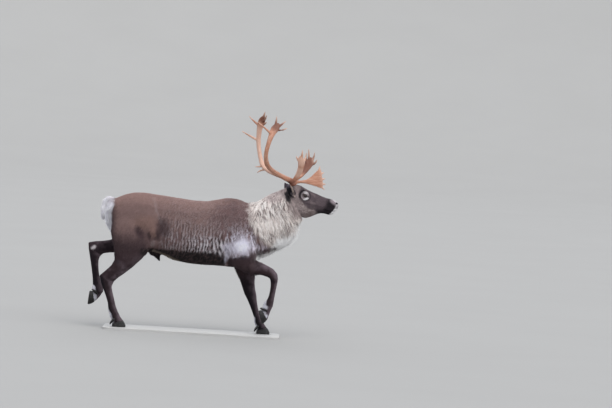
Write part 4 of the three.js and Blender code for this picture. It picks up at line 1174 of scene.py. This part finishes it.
for antler_side in ("right", "left"):
    names = [f"antler_{antler_side}_{branch}" for branch in ("beam_low", "beam_high", "palm", "bez", "brow")]
    antler = joined(f"antler_{antler_side}_bone", [merged_copy(name, 0.0012) for name in names])
    applied(antler, "REMESH", mode="VOXEL", voxel_size=ANTLER_VOXEL)
    applied(antler, "SMOOTH", factor=0.5, iterations=14)
    points = fill_valleys(antler, points_of(antler), normals_of(antler), 60)
    move_points(antler, points)
    normals = normals_of(antler)
    best = np.full(len(points), 1e9)
    second = np.full(len(points), 1e9)
    stretched = np.zeros((len(points), 3))
    for line in BRANCHES[antler_side]:
        line = np.array(line, dtype=float)
        distance, travelled = near_path(points, line)
        steps = np.concatenate([[0], np.cumsum(span(np.diff(line, axis=0)))])
        middle = [np.interp(travelled, range(len(line)), line[:, axis]) for axis in range(3)]
        run = np.interp(travelled, range(len(line)), steps)
        nearer = distance < best
        second = np.where(nearer, best, np.minimum(second, distance))
        best[nearer] = distance[nearer]
        flowing = points - np.column_stack(middle) + 0.045 * run[:, None] + 500 * len(line)
        stretched[nearer] = flowing[nearer]
    # furrows follow each branch and fade where branches part, and pearls stand close above the burr
    alone = fade(second - best, 4, 26)
    furrow = mottle(stretched, 6, 21) + 0.6 * mottle(stretched, 3, 22) - 0.8
    burr = 1 - fade(span(points - BRANCHES[antler_side][0][0]), 40, 120)
    pearls = burr * (mottle(points, 6, 23) - 0.4) * 3
    points += normals * (1.2 * furrow * alone + pearls)[:, None]
    # the solids give the antlers' full reach
    points = np.clip(points, millimetres(cad_box[0]) + 0.1, millimetres(cad_box[1]) - 0.1)
    move_points(antler, points)
    tips = near_any(points, [(*tip, TIP_REACH) for tip in TIPS[antler_side]], 0.2)
    highlit = near_any(points, HIGHLIT_BONE[antler_side], 0.4)
    store(antler, "along", "FLOAT_VECTOR", stretched / 5)
    store(antler, "alone", "FLOAT", alone)
    # deep holds the painted shade and the darker bone, and tip holds the pale tips and the painted highlight
    store(antler, "deep", "FLOAT", 0.95 * near_any(points, SHADED_AND_DARK_BONE[antler_side], 0.5))
    store(antler, "tip", "FLOAT", 0.55 * np.maximum(tips, highlit))
    applied(antler, "DECIMATE", ratio=0.55)
    smoothed(antler)
    dress(antler, bone)
    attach(antler, "root")
    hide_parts(*names)

# The coat: hollow guard hair that lies along the body in thin overlapping tufts, short and tight on face
# and legs, long and loose on neck, throat, rump and tail. Each tuft is a closed blade rooted in the skin.
PATCH = 0.003  # how wide a tuft is on the coat's own map
ROUND = {"short": 0.5, "long": 1.0}  # how far a tuft's own roundness shows in the light
STANDS_OUT = {"short": 0.3, "long": 2.0}  # how far it is lit by its own way rather than the skin's
SKYLIGHT = {"short": 0, "long": 1.3}  # how far it is lit from above, as loose hair lets light through
ROOT_SHADE = {"short": 0.7, "long": 0.88}  # how dark a tuft is at its root, among the others


def coat_map(piece):
    """A rough copy of the skin, unwrapped, to give each tuft its place on the map"""
    rough = piece.copy()
    rough.data = piece.data.copy()
    bpy.context.collection.objects.link(rough)
    applied(rough, "DECIMATE", ratio=0.05)
    edit_all(rough)
    bpy.ops.mesh.quads_convert_to_tris()
    bpy.ops.uv.smart_project(angle_limit=math.radians(66), island_margin=0.004)
    bpy.ops.object.mode_set(mode="OBJECT")
    return rough


def map_places(rough, roots):
    """The place on the map of each root, from the nearest face of the rough copy"""
    mesh = rough.data
    corners = read(mesh.uv_layers.active.data, "uv", 2).reshape(-1, 3, 2)
    vertices = read(mesh.vertices, "co")
    index = read(mesh.loops, "vertex_index", 1, int).reshape(-1, 3)
    triangles = vertices[index]
    tree = BVHTree.FromPolygons([Vector(vertex) for vertex in vertices], index.tolist())
    nearest = [tree.find_nearest(Vector(root)) for root in roots]
    face = np.array([hit[2] for hit in nearest])
    spot = np.array([hit[0] for hit in nearest])
    a, b, c = (triangles[face, i] for i in range(3))
    ab, ac, ap = b - a, c - a, spot - a
    d00, d01, d11 = (np.sum(p * q, axis=1) for p, q in ((ab, ab), (ab, ac), (ac, ac)))
    d20, d21 = np.sum(ap * ab, axis=1), np.sum(ap * ac, axis=1)
    size = np.maximum(d00 * d11 - d01 * d01, 1e-18)
    second = np.clip((d11 * d20 - d01 * d21) / size, 0, 1)
    third = np.clip((d00 * d21 - d01 * d20) / size, 0, 1)
    first = 1 - second - third
    return sum(share[:, None] * corners[face, i] for i, share in enumerate((first, second, third)))


def tuft_mesh(name, kind, block, tufts, rings):
    """One mesh of closed three-sided blades. `rings` gives each ring's share of the length and the width"""
    roots, normals, lie, length, width, lift = (row[block] for row in tufts[:6])
    sag, curl, colours, tip_colours, uv = (row[block] for row in tufts[6:])
    count = len(roots)
    side = unit(np.cross(normals, lie))
    down = np.array([0, 0, -1.0])
    axis = lie * np.cos(lift)[:, None] + normals * np.sin(lift)[:, None]
    top = normals * np.cos(lift)[:, None] - lie * np.sin(lift)[:, None]
    lit = unit(normals + top * STANDS_OUT[kind] + (0, 0, SKYLIGHT[kind]))
    layers, tones, maps, bends, strands = [], [], [], [], []
    luck = draw.random(count) * 40
    for share, wide in rings + [(1.0, 0.0)]:
        u = max(share, 0)
        middle = roots + length[:, None] * share * (axis - normals * (0.45 * u * np.sin(lift))[:, None])
        middle = middle + down * (sag * length * u * u)[:, None] + side * (curl * length * u * u)[:, None]
        lightness = ROOT_SHADE[kind] + (1 - ROOT_SHADE[kind]) * min(1, u * 2.2)
        tone = colours * lightness * (1 - u) + tip_colours * u
        if wide == 0:
            layers.append(middle[:, None, :])
            bends.append(lit[:, None, :])
            tones.append(tone[:, None, :])
            maps.append((uv + (0, PATCH / 2))[:, None, :])
            strands.append(np.column_stack([0 * luck, luck + 0.4 * u, luck])[:, None, :])
            continue
        half = (width * wide / 2)[:, None]
        ring = [middle + side * half, middle - side * half, middle + top * half * 0.9]
        layers.append(np.stack(ring, axis=1))
        belly = lit * (1 - 0.5 * ROUND[kind])
        bends.append(np.stack([belly + side * ROUND[kind], belly - side * ROUND[kind], lit], axis=1))
        row = [np.column_stack([luck + 0.5 * way, luck + 0.4 * u, luck]) for way in (1, -1, 0)]
        strands.append(np.stack(row, axis=1))
        tones.append(np.repeat(tone[:, None, :], 3, axis=1))
        spread = [(PATCH * over, PATCH * (u - 0.5)) for over in (0.5, -0.5, 0)]
        maps.append(uv[:, None, :] + np.array(spread)[None])
    points = np.concatenate(layers, axis=1)
    per_tuft = points.shape[1]
    faces = [(0, 1, 2)]
    for ring in range(len(rings) - 1):
        for k in range(3):
            a, b = ring * 3 + k, ring * 3 + (k + 1) % 3
            faces += [(a, a + 3, b), (b, a + 3, b + 3)]
    last = (len(rings) - 1) * 3
    faces += [(last + k, per_tuft - 1, last + (k + 1) % 3) for k in range(3)]
    faces = np.array(faces)
    index = (np.arange(count)[:, None, None] * per_tuft + faces[None]).reshape(-1, 3)
    mesh = bpy.data.meshes.new(name)
    mesh.vertices.add(count * per_tuft)
    mesh.vertices.foreach_set("co", place(points.reshape(-1, 3)).ravel())
    mesh.loops.add(index.size)
    mesh.loops.foreach_set("vertex_index", index.ravel().astype(np.int32))
    mesh.polygons.add(len(index))
    mesh.polygons.foreach_set("loop_start", np.arange(0, index.size, 3, dtype=np.int32))
    mesh.polygons.foreach_set("use_smooth", np.ones(len(index), dtype=bool))
    mesh.update(calc_edges=True)
    layer = mesh.uv_layers.new(name="OFBake")
    flat = np.concatenate(maps, axis=1).reshape(-1, 2)
    layer.data.foreach_set("uv", np.clip(flat[index.ravel()], 0.0005, 0.9995).ravel())
    piece = bpy.data.objects.new(name, mesh)
    bpy.context.collection.objects.link(piece)
    store(piece, "markings", "FLOAT_COLOR", np.clip(np.concatenate(tones, axis=1).reshape(-1, 3), 0, 1))
    store(piece, "strand", "FLOAT_VECTOR", np.concatenate(strands, axis=1).reshape(-1, 3))
    # at the tip each face keeps its own light, as on a cone
    corners = unit(np.concatenate(bends, axis=1))[:, faces]
    corners[:, -3:, 1] = unit(corners[:, -3:, 0] + corners[:, -3:, 2])
    # the underside is lit from below
    under = [6 * ring + face for ring in range(len(rings) - 1) for face in (1, 2)] + [len(faces) - 3]
    corners[:, under] = unit(0.5 * corners[:, under] - top[:, None, None])
    mesh.normals_split_custom_set(corners.reshape(-1, 3))
    return piece


coat, shader = new_material("coat_hair", 0.75, 0.12)
shader.inputs["Sheen Weight"].default_value = 0.06
shader.inputs["Sheen Roughness"].default_value = 0.5
tint = stored(shader, "markings", "Color")
strands = noise_at(shader, stored(shader, "strand", "Vector"), 7.0, 2)
shade = ranged(shader, strands, 0.35, 0.65, 0.28, 0)
feed(shader, "Base Color", mixed(shader, shade, tint, (0.1, 0.08, 0.07, 1), "MULTIPLY"))
feed(shader, "Roughness", ranged(shader, strands, 0.3, 0.7, 0.6, 0.8))
bumped(shader, strands, 0.3, 0.0006)

draw = np.random.default_rng(5)
skin.data.calc_loop_triangles()
triangle_index = read(skin.data.loop_triangles, "vertices", 3, int)
skin_points = points_of(skin)
skin_normals = normals_of(skin)
skin_part = regions(skin_points)
corner = skin_points[triangle_index]
areas = span(np.cross(corner[:, 1] - corner[:, 0], corner[:, 2] - corner[:, 0])) / 2

# Tufts on each square centimetre, their length, width and lift, part by part
DENSITY = {"body": 5.6, "neck": 7.5, "head": 26, "leg": 9, "foot": 15, "ear": 20, "tail": 20}
LENGTH = {"body": 26, "neck": 56, "head": 8, "leg": 14, "foot": 16, "ear": 10, "tail": 64}
WIDTH = {"body": 3.2, "neck": 3.5, "head": 1.3, "leg": 2.0, "foot": 1.8, "ear": 1.3, "tail": 3.6}
LIFT = {"body": 12, "neck": 13, "head": 13, "leg": 12, "foot": 15, "ear": 18, "tail": 20}


def grow_roots(want):
    """Seeded roots over the skin, `want` for each square centimetre"""
    expected = areas / 100 * want[triangle_index].mean(axis=1)
    count = np.floor(expected + draw.random(len(expected))).astype(int)
    chosen = np.repeat(np.arange(len(count)), count)
    a, b = draw.random((2, len(chosen)))
    over = a + b > 1
    a[over], b[over] = 1 - a[over], 1 - b[over]
    shares = np.column_stack([1 - a - b, a, b])
    index = triangle_index[chosen]
    roots = np.sum(skin_points[index] * shares[:, :, None], axis=1)
    return roots, unit(np.sum(skin_normals[index] * shares[:, :, None], axis=1))


def not_bare(roots):
    """Leaves out the openings of eye and nostril"""
    straight = turned(roots, -HEAD_TURN)
    local = both_sides(straight)
    clear = (near_path(local, NOSTRIL)[0] > 11) & (near_path(local, MOUTH)[0] > 3.5)
    for side in (-1, 1):
        ahead, up, out, from_eye = around_eye(straight, side)
        near = (out > 0) & (span(from_eye) < 50)
        clear &= ~(near & (past_lids(ahead, up) < 2.4))
    return clear


want = by_region(skin_part, DENSITY)
want += 9 * fade(-skin_points[:, 0], 690, 715) * fade(skin_points[:, 2], 790, 850)
roots, root_normals = grow_roots(want)
clear = not_bare(roots)
roots, root_normals = roots[clear], root_normals[clear]
root_part = regions(roots)
count = len(roots)
length = by_region(root_part, LENGTH)
width = by_region(root_part, WIDTH)
lift = np.radians(by_region(root_part, LIFT))
straight = turned(roots, -HEAD_TURN)
muzzle = root_part["head"] * fade(straight[:, 0], 980, 1100)
length *= 1 - 0.45 * muzzle
width *= 1 - 0.25 * muzzle
# the throat carries the longest hair, and the nape and the shoulder's edge shorter hair
throat = fade(across(MANE_EDGE, roots) - 0.55 * (roots[:, 2] - 900), 60, 300) * root_part["neck"]
nape = root_part["neck"] * fade(root_normals[:, 2], 0.2, 0.75)
locks = mottle(roots, 17, 61) - 0.5
length *= 1 + (1.0 + 0.7 * locks) * throat - 0.2 * nape
lift *= 1 + throat * (draw.uniform(0.2, 1.2, count) + 1.1 * locks)
# the neck's hair grows longer away from the head
length *= 1 - 0.6 * root_part["neck"] * fade(past_cut(roots, HEAD_CUT), -150, -20)
sheath = 1 - fade(np.hypot(roots[:, 0] + 285, roots[:, 2] - 610) + 0.5 * np.abs(roots[:, 1]), 60, 95)
length *= 1 - 0.6 * sheath
# white hair stands off the rump and fills the space up to the tail
rump = fade(across(RUMP_EDGE, roots), 12, -8) * fade(roots[:, 2], 800, 860)
rump = rump * (1 - fade(np.abs(roots[:, 1]), 60, 110)) * (roots[:, 0] < -650)
length += rump * (1 - root_part["tail"]) * (40 + 34 * fade(roots[:, 2], 880, 960) - length * 0.5)
lift += np.radians(16) * rump * fade(roots[:, 2], 860, 960) * (1 - root_part["tail"])
# the brisket's hair hangs below the chest
brisket = fade(roots[:, 0], 470, 500) * (1 - fade(roots[:, 2], 745, 775)) * (1 - root_part["leg"])
length += brisket * (54 - length)
# the tail's hair is short on top and long at the end
length *= 1 - 0.42 * root_part["tail"] * fade(roots[:, 2], 985, 1050)
length *= draw.uniform(0.75, 1.2, count)
width *= draw.uniform(0.75, 1.25, count)
lift *= draw.uniform(0.6, 1.4, count)
way = way_of(roots, root_normals, root_part)
lie = laid(way, root_normals)
# where a form ends in a point, such as the tail, the hair grows straight on
lift += np.radians(66) * fade(np.sum(way * root_normals, axis=1), 0.3, 0.95)
side_way = np.cross(root_normals, lie)
wave = 0.75 * (mottle(roots, 45, 31) - 0.5) + 0.7 * (mottle(roots, 18, 32) - 0.5)
wave += draw.normal(0, 0.10, count)
wave *= 1 - 0.5 * root_part["leg"] - 0.4 * root_part["head"]
lie = unit(lie * np.cos(wave)[:, None] + side_way * np.sin(wave)[:, None])
colours = markings(roots, root_part)
shade = draw.normal(1.0, 0.11, count)[:, None]
colours = np.clip(colours * shade, 0, 1)
frost = 1 - 0.85 * np.clip(root_part["head"] + root_part["leg"] + root_part["ear"], 0, 1)
paler = 1 + frost * (0.12 + 0.25 * draw.random(count))
tip_colours = np.clip(colours * paler[:, None] + (0.012 * frost)[:, None], 0, 0.95)
curl = draw.normal(0, 0.10, count) + 0.3 * (mottle(roots, 30, 33) - 0.5)
sag = 0.02 + 0.16 * root_part["neck"] + 0.05 * root_part["tail"] + 0.22 * brisket
roots = roots - root_normals * 1.5

SHORT = [(-0.05, 1.0)]
LONG = [(-0.03, 0.7), (0.5, 0.9)]
PER_PIECE = {"short": 48000, "long": 19000}
rough_skin = coat_map(skin)
uv = map_places(rough_skin, place(roots))
bpy.data.objects.remove(rough_skin)
is_long = (root_part["neck"] + root_part["tail"] + 0.8 * rump + brisket) > 0.5
tufts = (roots, root_normals, lie, length, width, lift, sag, curl, colours, tip_colours, uv)
for kind, chosen, rings in (("short", ~is_long, SHORT), ("long", is_long, LONG)):
    index = np.nonzero(chosen)[0]
    # pieces run from the tail to the nose, so that each covers one stretch of the body
    index = index[np.argsort(roots[index, 0], kind="stable")]
    pieces = math.ceil(len(index) / PER_PIECE[kind])
    for number, block in enumerate(np.array_split(index, pieces)):
        hair_piece = tuft_mesh(f"{kind}_hair_{number + 1}", kind, block, tufts, rings)
        dress(hair_piece, coat)
        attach(hair_piece, "root")

# The room: a plain pale floor, soft light from above and from the animal's right, and a camera at the
# photograph's place, a long way off and level with the back. The ground there sloped, so it leans a little.
FLOOR_TONE = (0.37, 0.367, 0.36, 1)
FLOOR_CLOUD = (0.35, 0.347, 0.34, 1)
FLOOR_RADIUS = 45
WALL_STEPS = [(50, 0.4), (55, 1.7), (60, 4.2), (64, 8.5)]  # radius and height, low enough for the lamps
bpy.ops.object.select_all(action="DESELECT")
bpy.ops.mesh.primitive_circle_add(vertices=96, radius=FLOOR_RADIUS, fill_type="NGON")
floor = bpy.context.object
floor.name = "floor"
edit_all(floor)
before = (FLOOR_RADIUS, 0)
for step in WALL_STEPS:
    bpy.ops.mesh.extrude_region_move(TRANSFORM_OT_translate={"value": (0, 0, step[1] - before[1])})
    bpy.ops.transform.resize(value=(step[0] / before[0], step[0] / before[0], 1), center_override=(0, 0, 0))
    before = step
bpy.ops.mesh.delete(type="ONLY_FACE")
bpy.ops.mesh.select_all(action="DESELECT")
bpy.ops.object.mode_set(mode="OBJECT")
smoothed(floor)
floor_paint, shader = new_material("floor_paint", 0.9, 0.1)
cloud = noise_at(shader, object_place(shader), 0.6, 3)
feed(shader, "Base Color", mixed(shader, cloud, FLOOR_TONE, FLOOR_CLOUD))
dress(floor, floor_paint)

world = bpy.data.worlds.new("pale_room")
bpy.context.scene.world = world
world.use_nodes = True
background = world.node_tree.nodes["Background"]
background.inputs["Color"].default_value = (0.86, 0.90, 0.97, 1)
background.inputs["Strength"].default_value = 0.95


def soft_sun(name, towards, spread, power, tint=(1, 1, 1)):
    """A wide soft lamp that shines along a direction"""
    lamp = bpy.data.lights.new(name, "SUN")
    lamp.angle = math.radians(spread)
    lamp.energy = power
    lamp.color = tint
    holder = bpy.data.objects.new(name, lamp)
    bpy.context.collection.objects.link(holder)
    holder.rotation_euler = Vector(towards).to_track_quat("-Z", "Y").to_euler()


soft_sun("key_light", (-0.15, 0.55, -1.0), 50, 1.5, (1, 0.97, 0.93))
soft_sun("side_light", (-0.4, 0.88, -0.22), 60, 0.55)
soft_sun("front_light", (-0.85, 0.45, -0.12), 60, 1.0)
soft_sun("far_light", (0.2, -0.9, -0.45), 70, 0.7)

LENS = 200
SENSOR = 36
VIEW_WIDTH = 5.202  # metres across the picture where the animal stands
LEAN = math.radians(3.5)
LOOK_DOWN = math.radians(2)
MIDDLE = place((918.6, 0, 1132.6))  # the middle of the picture
right = Vector((math.cos(LEAN), 0, math.sin(LEAN)))
level_up = Vector((-math.sin(LEAN), 0, math.cos(LEAN)))
forward = math.cos(LOOK_DOWN) * Vector((0, 1, 0)) - math.sin(LOOK_DOWN) * level_up
up = right.cross(forward)
camera_data = bpy.data.cameras.new("camera")
camera_data.lens = LENS
camera_data.sensor_width = SENSOR
camera_data.clip_end = 400
camera = bpy.data.objects.new("camera", camera_data)
bpy.context.collection.objects.link(camera)
axes = Matrix((right, up, -forward)).transposed().to_4x4()
stand_point = Vector(MIDDLE) - forward * VIEW_WIDTH * LENS / SENSOR
camera.matrix_world = Matrix.Translation(stand_point) @ axes
bpy.context.scene.camera = camera
bpy.context.scene.view_settings.view_transform = "Standard"
